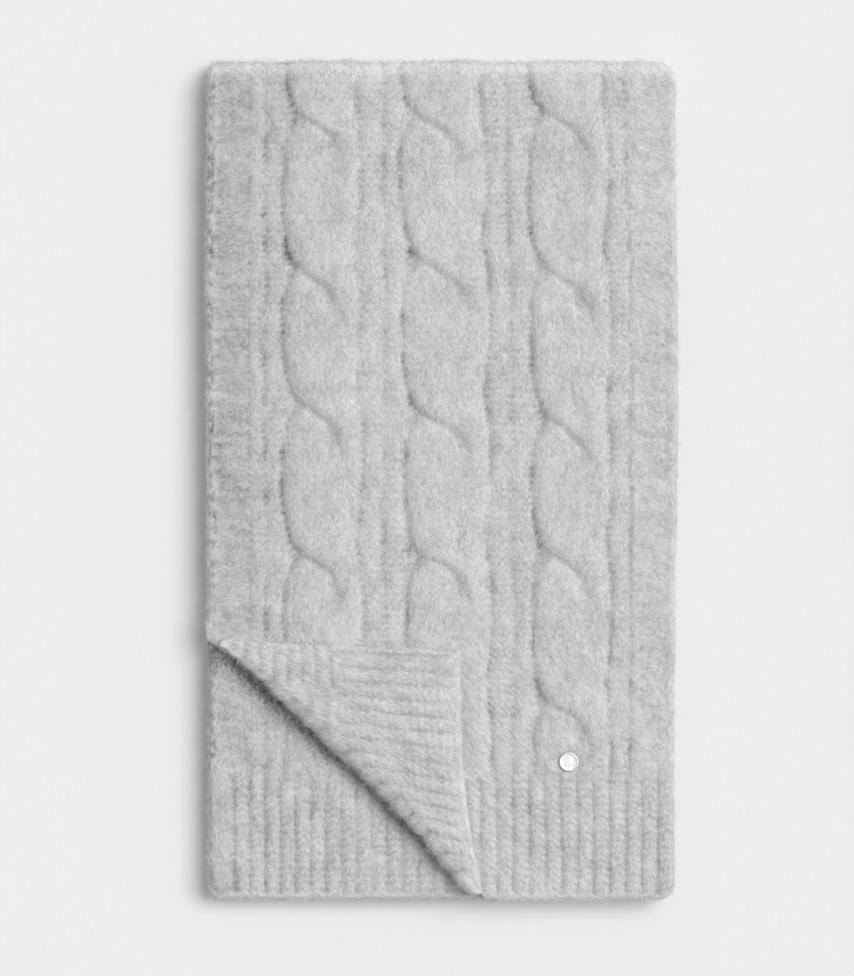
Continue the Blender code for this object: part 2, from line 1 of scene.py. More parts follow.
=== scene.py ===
"""Folded knit scarf: its brushed wool, its raised knitting, its stud and the floor it lies on.

The scarf is one knitted strip folded in four layers, with one corner of the front turned back.
Each stretch that shows is a closed shell worked out on a grid of two parameters: stations along
the knitting and a ring round its section. Brushed fibres are thin tapering ribbons in joined
meshes. Lengths are millimetres, scaled to metres when a mesh is made. "across" runs from the left
selvedge to the right one, "along" from the hem to the top fold, "height" up from the floor.
"""

import math
from collections import namedtuple
from types import SimpleNamespace

import bmesh
import bpy
import numpy as np
from bpy.props import FloatProperty, FloatVectorProperty, IntProperty, PointerProperty
from bpy.types import Operator, Panel, PropertyGroup
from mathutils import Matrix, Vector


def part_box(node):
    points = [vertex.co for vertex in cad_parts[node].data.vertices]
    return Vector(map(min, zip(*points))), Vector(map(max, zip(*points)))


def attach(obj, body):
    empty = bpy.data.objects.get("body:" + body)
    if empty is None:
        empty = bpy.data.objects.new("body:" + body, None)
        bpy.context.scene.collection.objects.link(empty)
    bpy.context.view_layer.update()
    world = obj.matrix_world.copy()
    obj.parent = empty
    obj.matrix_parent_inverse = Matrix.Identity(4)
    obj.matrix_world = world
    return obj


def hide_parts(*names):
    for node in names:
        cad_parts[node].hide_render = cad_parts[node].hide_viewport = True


bl_info = {
    "name": "Folded Knit Scarf",
    "version": (1, 0, 0),
    "blender": (4, 5, 0),
    "location": "View3D > Sidebar > Scarf",
    "description": "A brushed cable-knit scarf, folded flat with one corner turned back",
    "category": "Add Mesh",
}

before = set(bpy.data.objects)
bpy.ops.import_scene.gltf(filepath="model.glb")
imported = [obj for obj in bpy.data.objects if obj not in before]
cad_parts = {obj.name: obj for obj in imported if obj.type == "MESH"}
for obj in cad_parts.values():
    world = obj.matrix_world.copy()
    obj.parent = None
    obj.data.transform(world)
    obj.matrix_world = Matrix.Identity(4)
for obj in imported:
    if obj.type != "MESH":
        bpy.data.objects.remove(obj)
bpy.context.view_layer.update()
MM = 0.001

# The folded scarf
WIDTH = 296.7
LENGTH = 528.6
LAYER = 5.6
SEAM = 0.3  # clearance where two stretches meet
SECOND_FLOOR = 2 * LAYER + 0.9  # plain side of the second stretch
FRONT_FLOOR = SECOND_FLOOR + LAYER + SEAM  # plain side of the front stretch
FRONT_WALL = 4.6  # the front's knit between its raised stitches
HEM_LENGTH = 74.5  # depth of the ribbed end
FUZZ = 0.8  # the knit itself lies this far inside the outline that its fibres reach

# The view, straight down
IMAGE_WIDTH = 854
IMAGE_HEIGHT = 976
PIXEL = 0.63  # millimetres of the scarf to one pixel of the image
CENTRE_PIXEL = (441.5, 479.5)  # the pixel where the scarf's centre lies
LENS = 135.0
FLOOR_REACH = 6.0  # half the floor's side, in metres
SUN_ANGLE = 38.0  # how wide the soft light is, in degrees
SUN_TILT = (-15.0, 30.0)

# Stitches
COURSE = 4.57  # height of one row of stitches
WALE = 5.04  # width of one column of stitches
GARTER_PITCH = 9.1

# A cable's strands at stations above and below the crossing: where the front strand starts and the
# rear strand's cap ends, as shares of the cable's width, and how far its edges draw in, in mm
Crease = namedtuple("Crease", "offset front cap left_in right_in")
CREASE = (
    Crease(-45.0, 0.800, 0.660, 0.0, 0.3),
    Crease(-36.0, 0.800, 0.660, 0.0, 0.2),
    Crease(-24.0, 0.763, 0.622, 0.0, 0.2),
    Crease(-16.0, 0.689, 0.607, 0.2, 0.7),
    Crease(-9.0, 0.564, 0.542, 1.2, 1.2),
    Crease(-4.0, 0.390, 0.390, 3.4, 1.6),
    Crease(0.0, 0.210, 0.210, 5.8, 2.1),
    Crease(3.0, 0.093, 0.093, 5.8, 2.6),
    Crease(9.5, 0.027, 0.027, 4.2, 3.4),
    Crease(19.0, 0.000, 0.000, 2.0, 3.6),
    Crease(28.0, 0.000, 0.000, 0.6, 2.6),
    Crease(36.0, 0.000, 0.000, 0.0, 1.2),
    Crease(45.0, 0.000, 0.000, 0.0, 0.3),
)
CREASE_FADES = -9.0  # below this the crease grows shallow
CREASE_GONE = -36.0  # and here the strands lie together as one ridge
CREASE_SHADE = 0.5  # the shade that the crease runs out into, as a share of a groove's
STRAND_ROUND = 11.0  # how far a strand's edge is rounded
CAP_HEIGHT = 0.90
CAP_ROUND = 9.0
CAP_TIP = 0.21  # the cap's tip, as a share of the cable's width
CAP_LENGTH = 20.0  # from the cap's tip to where it fills the cable's left side
CROSSING_RISE = 0.28  # how much higher the front strand stands at a crossing, as a share
CROSSING_HALF = 15.0  # half the length of that rise
HUSHED = 0.6  # how much shallower the grooves beside a cable get just below a crossing

# Soft edges and corners
EDGE_ROUND = 2.8
EDGE_COLUMNS = 5
CORNER_REACH = 30.0  # a corner's rounding dies out over this length
CORNER_RADII = {"hem_left": 7.0, "hem_right": 9.5, "top_left": 5.0, "top_right": 11.0}

# The top fold
WRAP_HEIGHT = SECOND_FLOOR - SEAM
WRAP_LIP = 20.0  # how far each fold runs back under the stack
WRAP_RISE = 0.5  # share of the raised knitting left at the fold's edge
CABLE_REACH = 3.6  # height of a cable in the frame
TURN = LENGTH - (FRONT_FLOOR - WRAP_HEIGHT + (FRONT_WALL + LAYER) / 2 + WRAP_RISE * CABLE_REACH)

# The turned-back corner
FLAP_WALL = 5.0
FLAP_UNDER = FRONT_FLOOR + FRONT_WALL + CABLE_REACH + SEAM
ROLL_INNER = (FLAP_UNDER - FRONT_FLOOR - FLAP_WALL) / 2
ROLL_OUTER = ROLL_INNER + FLAP_WALL
ROLL_SKEW = 11.7  # the selvedge creeps this far along the fold as it rolls over

# At shares of the fold from its upper end: how much further out the roll stands than a round one,
# and how far out from it the wool below is shaded
RollEdge = namedtuple("RollEdge", "share out shaded")
ROLL_EDGE = (
    RollEdge(0.0, -3.0, 60.0),
    RollEdge(0.06, -4.0, 60.0),
    RollEdge(0.14, -1.8, 42.0),
    RollEdge(0.24, 0.0, 36.0),
    RollEdge(0.34, 0.8, 33.0),
    RollEdge(0.46, 1.4, 28.0),
    RollEdge(0.58, 0.4, 13.0),
    RollEdge(0.69, 0.4, 20.0),
    RollEdge(0.81, -0.3, 14.0),
    RollEdge(0.89, 1.2, 12.0),
    RollEdge(0.95, 0.4, 10.0),
    RollEdge(1.0, 0.0, 9.0),
)
LIP = 1.0  # the rolled cloth runs on this far below
FOLD_START = (1.4, 162.9)
FOLD_END = (166.3, 3.8)
FOLD_BOW = 6.8
FLAP_CORNER = (160.6, 156.9)
LINE_END_TURN = 0.8  # how far the roll's last sections turn, to end nearly level with the hem
HEM_CURVE = 2.6  # the corner's hem runs straight and turns to the fold near its end
DRAPE = 1.9  # how far the corner's free edges hang below its middle
DRAPE_REACH = 16.0
THINNED = 2.0  # how much thinner its wall is at them
THINNED_REACH = 14.0
SQUARE_TO_FOLD = 0.69  # distance square to the fold for a distance across
PAINTED_ROLL_SHADE = 0.75  # painted shade on the wool under the roll, as a share of a groove's
BENT = 0.7  # the shade of the flat wool next to the roll, as a share of a groove's
BENT_REACH = 10.0
ROLL_SQUARE = 0.7  # below 1, the roll's upper quarter is squarer than a circle
UNDER_ROLL = (1.9, 1.6)  # the shade of the wool at the roll's edge, in its upper and lower half
UNDER_ROLL_MOST = (1.35, 1.2)  # and what it is held to

# Beside the turned-back corner the front is pressed flat, and under it lower still
PRESSED_ACROSS = 167.0
PRESSED_HALF = 7.0
PRESSED_RISE = 2.4
COVERED_RISE = 2.2

# Shades of the wool
WOOL_LEVEL = 0.78  # share of light wool on a ridge
RIM = 4.0  # how far in from a free edge the light comes through the wool
RIM_LIGHT = 0.45  # how much lighter the wool is there, as a share of a groove's shade
GREYER = 0.5  # the wool is this much darker at the left selvedge, as a share of a groove's shade
GREYER_REACH = 130.0
GARTER_PAINTED_SHADE = 0.2  # and this much darker again in the left garter band, as painted shade of its rows
GARTER_DEEPEST = 1.0  # where the painted shade of that band's grooves levels out

# Ribbed hems
Ribs = namedtuple("Ribs", "first_groove pitch")
FRONT_RIBS = Ribs(first_groove=9.8, pitch=10.24)
SECOND_RIBS = Ribs(first_groove=6.95, pitch=9.75)
FLAP_RIBS = Ribs(first_groove=13.9, pitch=9.8)

# The second layer's free left edge and its curled corner
CURL = 3.2  # how far the curled corner stands up
CURL_CENTRE = (8.8, 13.5)
CURL_SIZE = (8.6, 10.0)
PUFF = 3.2  # how far the layer swells at its left edge

# Stud
STUD_CENTRE = (229.2, 87.0)
STUD_RADIUS = 6.15
STUD_FADE = 3.0  # the knit rises to its full height over this length round the stud
STUD_SEAT = 1.6  # height of the wool below the stud above the wall
Turning = namedtuple("Turning", "inset height")  # in from the stud's edge, up from its seat
STUD_PROFILE = (
    Turning(0.6, 0.0),
    Turning(0.15, 0.2),
    Turning(0.0, 0.6),
    Turning(0.08, 0.95),
    Turning(0.3, 1.2),
    Turning(0.6, 1.3),
    Turning(0.95, 1.26),
    Turning(1.25, 1.16),
    Turning(2.2, 1.15),
    Turning(4.2, 1.2),
    Turning(STUD_RADIUS - 0.3, 1.22),
)

# The hidden layers
LOBE_DEPTH = 3.2  # how far the groove between the two layers goes in
LOBE_INSET = 0.8  # the layers' edges lie this far inside the outline
LAYERS_START = 3.0  # and their hem this far

# Bands of knitting across the front: where each starts and ends at the hem and at the top fold,
# and how deep the groove on its right is, as a share of a rib's height
Band = namedtuple("Band", "kind hem_left hem_right top_left top_right drop")
BANDS = (
    Band("garter", 4.5, 26.8, 4.5, 26.8, 0.6),
    Band("rib", 27.7, 36.6, 27.7, 36.6, 0.8),
    Band("rib", 37.8, 48.0, 37.8, 48.0, 1.1),
    Band("cable_1", 49.0, 97.7, 49.0, 96.8, 0.9),
    Band("rib", 98.9, 112.3, 98.9, 111.3, 0.85),
    Band("rib", 113.5, 128.0, 112.5, 121.6, 1.2),
    Band("cable_2", 129.3, 181.2, 122.7, 175.7, 1.3),
    Band("rib", 182.4, 195.1, 176.9, 188.6, 0.75),
    Band("rib", 196.3, 206.9, 189.8, 202.7, 1.2),
    Band("cable_3", 208.2, 256.7, 204.0, 253.2, 1.15),
    Band("rib", 257.9, 269.1, 254.4, 265.1, 0.75),
    Band("garter", 270.4, 289.0, 266.4, 287.5, 0.1),
)
CROSSINGS = {
    "cable_1": (122.0, 216.7, 310.0, 394.4, 490.8),
    "cable_2": (121.0, 213.6, 304.9, 400.0, 492.0),
    "cable_3": (122.0, 214.8, 300.5, 393.8, 491.4),
}

# The selvedges' drift, outwards positive, at stations along the length
Edge = namedtuple("Edge", "along left right")
EDGES = (
    Edge(0.0, -1.0, -1.1),
    Edge(75.0, -0.6, -1.4),
    Edge(150.0, -0.5, -1.0),
    Edge(170.0, -0.2, -0.6),
    Edge(220.0, 0.0, -0.2),
    Edge(285.0, 0.6, 1.2),
    Edge(375.0, 0.9, 0.9),
    Edge(440.0, 0.9, 0.1),
    Edge(LENGTH, -0.4, -0.8),
)


# Small maths on whole arrays


def smooth(share):
    """An S-curve: 3 s squared less 2 s cubed, with s held between 0 and 1."""
    share = np.clip(share, 0.0, 1.0)
    return share * share * (3.0 - 2.0 * share)


def mix(start, end, share):
    """The value that share of the way from start to end."""
    return start + (end - start) * share


def patches(x, y, cell, seed):
    """Smooth random values from -1 to 1: a lattice of random numbers, blended by S-curves."""
    lattice = np.random.default_rng(seed).uniform(-1.0, 1.0, (128, 128))
    across = np.asarray(x, float) / cell + 64.0
    up = np.asarray(y, float) / cell + 64.0
    column = np.floor(across).astype(int)
    row = np.floor(up).astype(int)
    right = smooth(across - column)
    top = smooth(up - row)
    a = mix(lattice[row % 128, column % 128], lattice[row % 128, (column + 1) % 128], right)
    above = (row + 1) % 128
    b = mix(lattice[above, column % 128], lattice[above, (column + 1) % 128], right)
    return mix(a, b, top)


def bell(distance, reach):
    """A bell curve: 1 at no distance, and 1 / e at its reach."""
    return np.exp(-((distance / reach) ** 2))


def bulge(distance, radius=EDGE_ROUND):
    """A soft edge's roundness: a quarter circle, 0 at the edge and 1 from the radius inwards."""
    inside = 1.0 - np.clip(distance / radius, 0.0, 1.0)
    return np.sqrt(1.0 - inside * inside)


# Where a point of the flat layout lies on the folded scarf


def corner_rise(distance, radius):
    """A rounded corner's setback: the radius less the height of its circle at that distance."""
    inside = np.maximum(0.0, radius - distance)
    return radius - np.sqrt(np.maximum(0.0, radius * radius - inside * inside))


def plan(across, along):
    """The layout drawn in by the fuzz, with the selvedges' drift and rounded corners added."""
    stations = [edge.along for edge in EDGES]
    left = -np.interp(along, stations, [edge.left for edge in EDGES])
    right = WIDTH + np.interp(along, stations, [edge.right for edge in EDGES])
    x = mix(left, right, across / WIDTH) - WIDTH / 2
    near = np.maximum(0.0, 1.0 - along / CORNER_REACH)
    far = np.maximum(0.0, 1.0 - (LENGTH - along) / CORNER_REACH)
    from_left = np.maximum(across, 0.0)
    from_right = np.maximum(WIDTH - across, 0.0)
    y = along - LENGTH / 2
    y = y + near * corner_rise(from_left, CORNER_RADII["hem_left"])
    y = y + near * corner_rise(from_right, CORNER_RADII["hem_right"])
    y = y - far * corner_rise(from_left, CORNER_RADII["top_left"])
    y = y - far * corner_rise(from_right, CORNER_RADII["top_right"])
    return x * (1.0 - 2 * FUZZ / WIDTH), y * (1.0 - FUZZ / LENGTH) - FUZZ / 2


def place(across, along, height):
    """Points of the layout at a height, as one array of x, y and z."""
    x, y = plan(across, along)
    return np.stack(np.broadcast_arrays(x, y, height), axis=-1)


def wrapped(across, path, floor, depth):
    """A layer that runs flat, then half round the top fold on its own radius, then back below."""
    arc = (floor - WRAP_HEIGHT + LAYER / 2) * math.pi
    angle = math.pi * np.clip((path - TURN) / arc, 0.0, 1.0)
    reach = floor - WRAP_HEIGHT + depth
    back = np.maximum(0.0, path - TURN - arc)
    along = np.minimum(path, TURN) + reach * np.sin(angle) - back
    return place(across, along, WRAP_HEIGHT + reach * np.cos(angle))


def wrap_end(floor):
    """The path's length to the end of the lip under the stack."""
    return TURN + (floor - WRAP_HEIGHT + LAYER / 2) * math.pi + WRAP_LIP


def wrap_progress(path, floor):
    """How far round the top fold a station is, from 0 to 1."""
    return np.clip((path - TURN) / (wrap_end(floor) - WRAP_LIP - TURN), 0.0, 1.0)


# Raised knitting


def crease_at(offset, column):
    """A column of the crease's table at an offset from the crossing."""
    stations = [crease.offset for crease in CREASE]
    return np.interp(offset, stations, [getattr(crease, column) for crease in CREASE])


def cable_shape(share, offset, width):
    """A cable's height from 0 to 1, as the higher of two rounded strands.

    The front strand fills the cable to the right of the crease and stands highest at the crossing.
    The rear strand comes out from under it as a rounded cap left of the crease. Lower down the
    crease grows shallow, and both lie together as one flat-topped ridge.
    """
    front_left = crease_at(offset, "front")
    cap_right = crease_at(offset, "cap")
    right = bulge((1.0 - share) * width, STRAND_ROUND)
    front = bulge((share - front_left) * width, STRAND_ROUND) * right
    front = front * (1.0 + CROSSING_RISE * bell(offset - 4.0, CROSSING_HALF))
    out = 1.0 - np.clip(-offset / CAP_LENGTH, 0.0, 1.0)
    cap_left = CAP_TIP * (1.0 - np.sqrt(1.0 - out * out))
    room = np.minimum(share - cap_left, cap_right - share) * width
    cap = CAP_HEIGHT * bulge(np.where(offset < 0.0, room, 0.0), CAP_ROUND)
    one = bulge(share * width, STRAND_ROUND) * right
    apart = np.maximum(front, cap)
    return mix(apart, one, smooth((CREASE_FADES - offset) / (CREASE_FADES - CREASE_GONE)))


def crossing_offset(name, along):
    """How far above its nearest crossing a cable's point lies."""
    offsets = np.stack([along - crossing for crossing in CROSSINGS[name]])
    nearest = np.abs(offsets).argmin(axis=0)
    return np.take_along_axis(offsets, nearest[None], axis=0)[0]


def stitch_rows(across, along, lean):
    """Rows of stitches from -1 to 1: a cosine along the knitting, leaning as V-shaped legs do."""
    legs = np.abs((across / WALE) % 1.0 - 0.5) * lean
    return np.cos(2.0 * math.pi * (along / COURSE + legs))


def garter_rise(inside, across, along, strength):
    """Garter ridges: loops lying across the band, uneven in height, length and spacing."""
    turns = along / GARTER_PITCH + 0.2 * inside + 0.3 * patches(across, along, 14.0, 14)
    rows = np.abs(np.cos(math.pi * turns)) ** 0.8
    loops = patches(across / 2.6, along, 2.0, 15) + 0.6 * patches(across / 1.2, along, 3.4, 16)
    outer = 0.7 * (1.0 - smooth((across - 4.0) / 6.0))
    base = np.where(across < WIDTH / 2, 0.35 + outer, 0.85)
    return base + 0.75 * strength * (0.25 + 0.9 * rows + 0.4 * loops)


def rib_between(inside, drop, hushed, uneven, sizes):
    """A body rib: a sine, rounded by its power, between two grooves of their own depths."""
    drop = mix(*drop, smooth(inside)) * uneven * hushed
    return sizes.rib * (1.0 - drop * (1.0 - np.sin(math.pi * inside) ** 0.55))


def cable_rise(inside, across, along, offset, width, sizes):
    """A cable's height: its strands, with rows of stitches that lean with them at a crossing."""
    bent = inside + 0.05 * patches(across, along, 13.0, 23) * np.sin(math.pi * inside)
    height = sizes.cable * cable_shape(bent, offset, width)
    lean = across + 0.75 * along * bell(offset, 22.0)
    return height + 1.4 * sizes.stitch * stitch_rows(lean, along, 1.0) * smooth(2 * height)


def band_edges(along):
    """Each band's left and right edge; beside a cable they follow its strands in at a crossing."""
    share = along / LENGTH
    edges = [
        [mix(band.hem_left, band.top_left, share), mix(band.hem_right, band.top_right, share)]
        for band in BANDS
    ]
    for number, band in enumerate(BANDS):
        if band.kind in CROSSINGS:
            offset = crossing_offset(band.kind, along)
            left_in = crease_at(offset, "left_in")
            right_in = crease_at(offset, "right_in")
            edges[number - 1][1] = edges[number - 1][1] + left_in
            edges[number][0] = edges[number][0] + left_in
            edges[number][1] = edges[number][1] - right_in
            edges[number + 1][0] = edges[number + 1][0] - right_in
    return edges


def body_rise(across, along, sizes):
    """Height of the front's knitting above its wall: bands of garter, ribs and cables.

    Ribs and the ground between bands stand one rib's height less the groove's own drop, and a
    band's rise replaces the ground where it is higher. Just below a crossing the grooves beside
    that cable are shallower.
    """
    wander = 1.0 * patches(across, along, 30.0, 11) + 0.7 * patches(across, along, 8.0, 12)
    across = across + wander
    along = along + 1.8 * patches(across, along, 26.0, 13)
    turns = along / COURSE + patches(across, along, 20.0, 17) / math.pi
    purl = 0.5 + 0.5 * np.cos(2.0 * math.pi * turns)
    uneven = 1.0 + 0.7 * patches(across, along, 9.0, 18)
    below = {name: bell(crossing_offset(name, along) + 9.0, 8.0) for name in CROSSINGS}
    followers = [band.kind for band in BANDS[1:]] + [""]
    rise = np.full(np.broadcast(across, along).shape, 0.4 * sizes.rib)
    drop_left = 0.3
    for band, follower, (left, right) in zip(BANDS, followers, band_edges(along)):
        share = (across - left) / (right - left)
        inside = np.clip(share, 0.0, 1.0)
        near_crossing = HUSHED * below.get(follower, 0.0)
        if band.kind == "garter":
            height = garter_rise(inside, across, along, sizes.garter)
        elif band.kind == "rib":
            hushed = 1.0 - near_crossing * smooth(inside)
            height = rib_between(inside, (drop_left, band.drop), hushed, uneven, sizes)
            height = height + 2.2 * sizes.stitch * stitch_rows(across, along, 0.8)
        else:
            offset = crossing_offset(band.kind, along)
            height = cable_rise(inside, across, along, offset, right - left, sizes)
            dip = drop_left * (1.0 - HUSHED * below[band.kind])
            valley = sizes.rib * (0.75 - dip * (1.0 - smooth(inside / 0.14)))
            height = np.maximum(height, valley)
        rise = np.where((share > 0.0) & (share < 1.0), height, rise)
        groove = band.drop * (1.0 - near_crossing) * (1.0 - 0.6 * purl) * uneven
        rise = np.where(share >= 1.0, sizes.rib * (1.0 - groove), rise)
        drop_left = band.drop
    turns = along / GARTER_PITCH + 0.6 * patches(across, along, 15.0, 19)
    selvedge = sizes.garter * (1.3 + np.cos(2.0 * math.pi * turns))
    return np.where(across < 4.0, selvedge, rise)


def crease_shade(across, along):
    """The broad shade, 0 to 1, that a crease runs out into, down to the cable's right edge.

    Below a crossing it trails off down the cable's middle, and above it leads in at the left edge.
    """
    shade = np.zeros(np.broadcast(across, along).shape)
    for band, (left, right) in zip(BANDS, band_edges(along)):
        if band.kind in CROSSINGS:
            offset = crossing_offset(band.kind, along)
            middle = np.interp(offset, (-46.0, -20.0, -8.0), (0.88, 0.68, 0.56))
            fades = smooth((-5.0 - offset) / 8.0) * smooth((offset + 50.0) / 24.0)
            leads = smooth(offset / 8.0) * smooth((38.0 - offset) / 16.0)
            shade = shade + fades * bell(across - left - middle * (right - left), 6.5)
            shade = shade + 0.8 * leads * bell(across - left, 4.0)
    return shade * (0.7 + 0.6 * patches(across, along, 3.2, 26))


def rib_rise(ribs, across, along, sizes, stitch=2.2, squareness=0.5):
    """A ribbed hem's height: rounded ribs between narrow grooves, with leaning stitches.

    A rib is a sine raised to its squareness, and the cast-on edge is even.
    """
    wander = 0.55 * patches(across, along, 22.0, 21) + 0.25 * patches(across, along, 7.0, 22)
    across = across + wander
    turns = (across - ribs.first_groove) / ribs.pitch
    shape = np.abs(np.sin(math.pi * turns)) ** squareness
    legs = np.abs(turns % 1.0 - 0.5)
    rows = along / COURSE + 1.2 * legs + 0.25 * patches(across, along, 9.0, 24)
    stitches = np.cos(2.0 * math.pi * rows) * shape
    dots = 0.35 * np.cos(2.0 * math.pi * (along / COURSE + 0.3)) * (1.0 - shape)
    rise = sizes.hem_rib * shape - 0.6 * sizes.groove + stitch * sizes.stitch * stitches + dots
    return mix(0.85 * sizes.hem_rib, rise, smooth((along - 1.5) / 4.0))


def hem_end(across, along):
    """How far the hem's ribs have given way to the body: an S-curve that starts unevenly."""
    start = HEM_LENGTH - 3.0 + 3.0 * patches(across, along, 6.0, 25)
    return smooth((along - start) / 15.0)


def unevenness(across, along, seed, sizes):
    """Soft lumps and hollows of a washed, brushed cloth, at three sizes."""
    broad = patches(across, along, 52.0, seed)
    middle = patches(across, along, 17.0, seed + 1)
    small = patches(across, along, 5.5, seed + 2)
    clumps = patches(across, along / 1.8, 2.6, seed + 3)
    return sizes.lumps * (0.8 * broad + 0.65 * middle + 0.6 * small + 0.5 * clumps)


def left_garter(across, along):
    """Where the left garter band lies, from 0 outside it to 1 inside."""
    band = smooth((across - 5.0) / 6.0) * smooth((29.0 - across) / 4.0)
    return band * smooth((along - HEM_LENGTH) / 12.0)


def greyness(across, along):
    """How much darker the wool is towards the left selvedge, most of all in its garter band, where
    it is painted shade of the band's rows.
    """
    shade = GREYER * (1.0 - smooth(across / GREYER_REACH))
    return shade + GARTER_PAINTED_SHADE * left_garter(across, along)


def softened(painted_shade, across, along):
    """Painted shade in the left garter band's hollows held back, so that its rows stay broad and
    soft.
    """
    held = GARTER_DEEPEST * (1.0 - np.exp(-np.maximum(painted_shade, 0.0) / GARTER_DEEPEST))
    return mix(painted_shade, np.where(painted_shade > 0, 1.3 * held, painted_shade), left_garter(across, along))


def pressed_at(across, along):
    """How far the front is pressed flat beside the turned-back corner's hem, from 0 to 1."""
    return bell(across - PRESSED_ACROSS, PRESSED_HALF) * smooth((130.0 - along) / 20.0)


def front_rise(across, along, sizes):
    """Height of the front above its wall: hem ribs that give way to the body's bands.

    It swells where the corner's fold starts, and lies low beside and under the turned-back corner
    and round the stud.
    """
    body = body_rise(across, along, sizes)
    hem = rib_rise(FRONT_RIBS, across, along, sizes, 2.9)
    rise = mix(hem, body, hem_end(across, along))
    for swell in SWELLS:
        near = bell(across - swell.across, swell.wide) * bell(along - swell.along, swell.long)
        rise = rise + swell.height * near
    pressed = pressed_at(across, along) * smooth((along - HEM_LENGTH) / 8.0)
    rise = mix(rise, np.maximum(rise, PRESSED_RISE), pressed)
    covered = smooth((PRESSED_ACROSS + 2.0 - across) / 8.0) * smooth((156.0 - along) / 8.0)
    rise = mix(rise, np.minimum(rise, COVERED_RISE), covered)
    from_edge = np.hypot(across - STUD_CENTRE[0], along - STUD_CENTRE[1]) - STUD_RADIUS
    beside = mix(STUD_SEAT + 0.6, rise, smooth((from_edge - 1.5) / STUD_FADE))
    return mix(STUD_SEAT - 0.6, beside, smooth((from_edge + 0.8) / 1.3))


# The fold of the turned-back corner


def fold_frame():
    """Unit vectors along the fold, towards the hem, and out from it, towards the lower left."""
    run = math.dist(FOLD_START, FOLD_END)
    along = ((FOLD_END[0] - FOLD_START[0]) / run, (FOLD_END[1] - FOLD_START[1]) / run)
    return np.array(along), np.array((along[1], -along[0]))


FOLD_ALONG, FOLD_OUT = fold_frame()


def roll_direction(share):
    """The way a section of the roll faces, from square to the fold to level with the hem."""
    turn = LINE_END_TURN * smooth((share - 0.75) / 0.25)
    return FOLD_OUT - turn[..., None] * FOLD_ALONG


def roll_top(share):
    """Where the corner's cloth leaves the roll: the bowed fold line, set in by the roll."""
    bow = 4.0 * FOLD_BOW * share * (1.0 - share)
    edge = mix(np.array(FOLD_START), np.array(FOLD_END), share[..., None])
    skew = ROLL_SKEW * (1.0 - share) / 2
    top = edge - bow[..., None] * FOLD_OUT + skew[..., None] * FOLD_ALONG
    return top - ROLL_OUTER * roll_direction(share)


def roll_edge(share, column):
    """A column of the roll's table at shares of the fold."""
    stations = [edge.share for edge in ROLL_EDGE]
    return np.interp(share, stations, [getattr(edge, column) for edge in ROLL_EDGE])


def lip_end(share, setback=0.0):
    """Where the rolled cloth meets the front stretch, set back towards the front."""
    skew = ROLL_SKEW * (1.0 - share)
    return (
        roll_top(share)
        - skew[..., None] * FOLD_ALONG
        - (LIP + setback) * roll_direction(share)
    )


CUT_LINE = lip_end(np.linspace(1.0, 0.0, 41), SEAM)
CUT_TOP = float(CUT_LINE[-1].sum())

Swell = namedtuple("Swell", "across along wide long height")
SWELLS = (
    Swell(12.0, CUT_TOP + 12.0, 11.0, 12.0, 1.6),
    Swell(16.0, 164.0, 9.0, 4.0, 1.6),
)


def cut_at(along):
    """How far across the front starts, below the turned-back corner's fold."""
    start = CUT_LINE[0]
    line_along = np.concatenate([[start[1] - 30.0], CUT_LINE[:, 1], [CUT_TOP]])
    line_across = np.concatenate([[start[0] + 30.0], CUT_LINE[:, 0], [0.0]])
    return np.interp(along, line_along, line_across)


# Closed shells from grids


def edge_spread(count):
    """Distances from a soft edge, close together where it curves most."""
    return EDGE_ROUND * (1.0 - np.cos(np.linspace(0.0, math.pi / 2, count)))


def evenly(start, end, pitch):
    """Stations from start to end, about a pitch apart."""
    return np.linspace(start, end, max(2, int(round((end - start) / pitch)) + 1))


class Shell:
    """A closed shell on a grid: rows of points, each row a ring round the cloth's section."""

    def __init__(self, points, painted_shade=None):
        self.points = points
        # Each point's painted shade: how much darker its wool is painted in grooves, under the roll
        # and below creases, with the darkening towards the left selvedge; below 0, painted light
        # near free edges and over the top fold. Fibres are also shorter and fewer where it is high.
        self.painted_shade = np.zeros(points.shape[:2]) if painted_shade is None else painted_shade
        ring = np.concatenate([points, points[:, :1]], axis=1)
        down = np.gradient(points, axis=0)
        around = np.concatenate([ring[:, -2:-1], ring], axis=1)
        around = (around[:, 2:] - around[:, :-2]) / 2
        self.down = down
        self.around = around
        normals = np.cross(down, around)
        normals /= np.maximum(np.linalg.norm(normals, axis=2, keepdims=True), 1e-9)
        outward = points - points.mean(axis=1, keepdims=True)
        sign = np.sign((normals * outward).sum())
        self.normals = normals * sign

    def mesh(self, name, material):
        """Quads between neighbouring rows and a cap over the first and last ring."""
        rows, columns, _ = self.points.shape
        index = np.arange(rows * columns).reshape(rows, columns)
        following = np.roll(index, -1, axis=1)
        quads = np.stack([index[:-1], following[:-1], following[1:], index[1:]], axis=-1)
        faces = quads.reshape(-1, 4).tolist()
        faces.append(index[0].tolist()[::-1])
        faces.append(index[-1].tolist())
        mesh = bpy.data.meshes.new(name)
        mesh.from_pydata((self.points.reshape(-1, 3) * MM), [], faces)
        layer = mesh.attributes.new("painted_shade", "FLOAT", "POINT")
        layer.data.foreach_set("value", self.painted_shade.astype(np.float32).ravel())
        body = bmesh.new()
        body.from_mesh(mesh)
        bmesh.ops.remove_doubles(body, verts=body.verts, dist=1e-6)
        bmesh.ops.recalc_face_normals(body, faces=body.faces)
        body.to_mesh(mesh)
        body.free()
        mesh.materials.append(material)
        mesh.shade_smooth()
        return link(name, mesh)


def link(name, mesh):
    """A new object at the origin for a mesh, riding on the scarf's one body."""
    obj = bpy.data.objects.new(name, mesh)
    bpy.context.scene.collection.objects.link(obj)
    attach(obj, "root")
    return obj


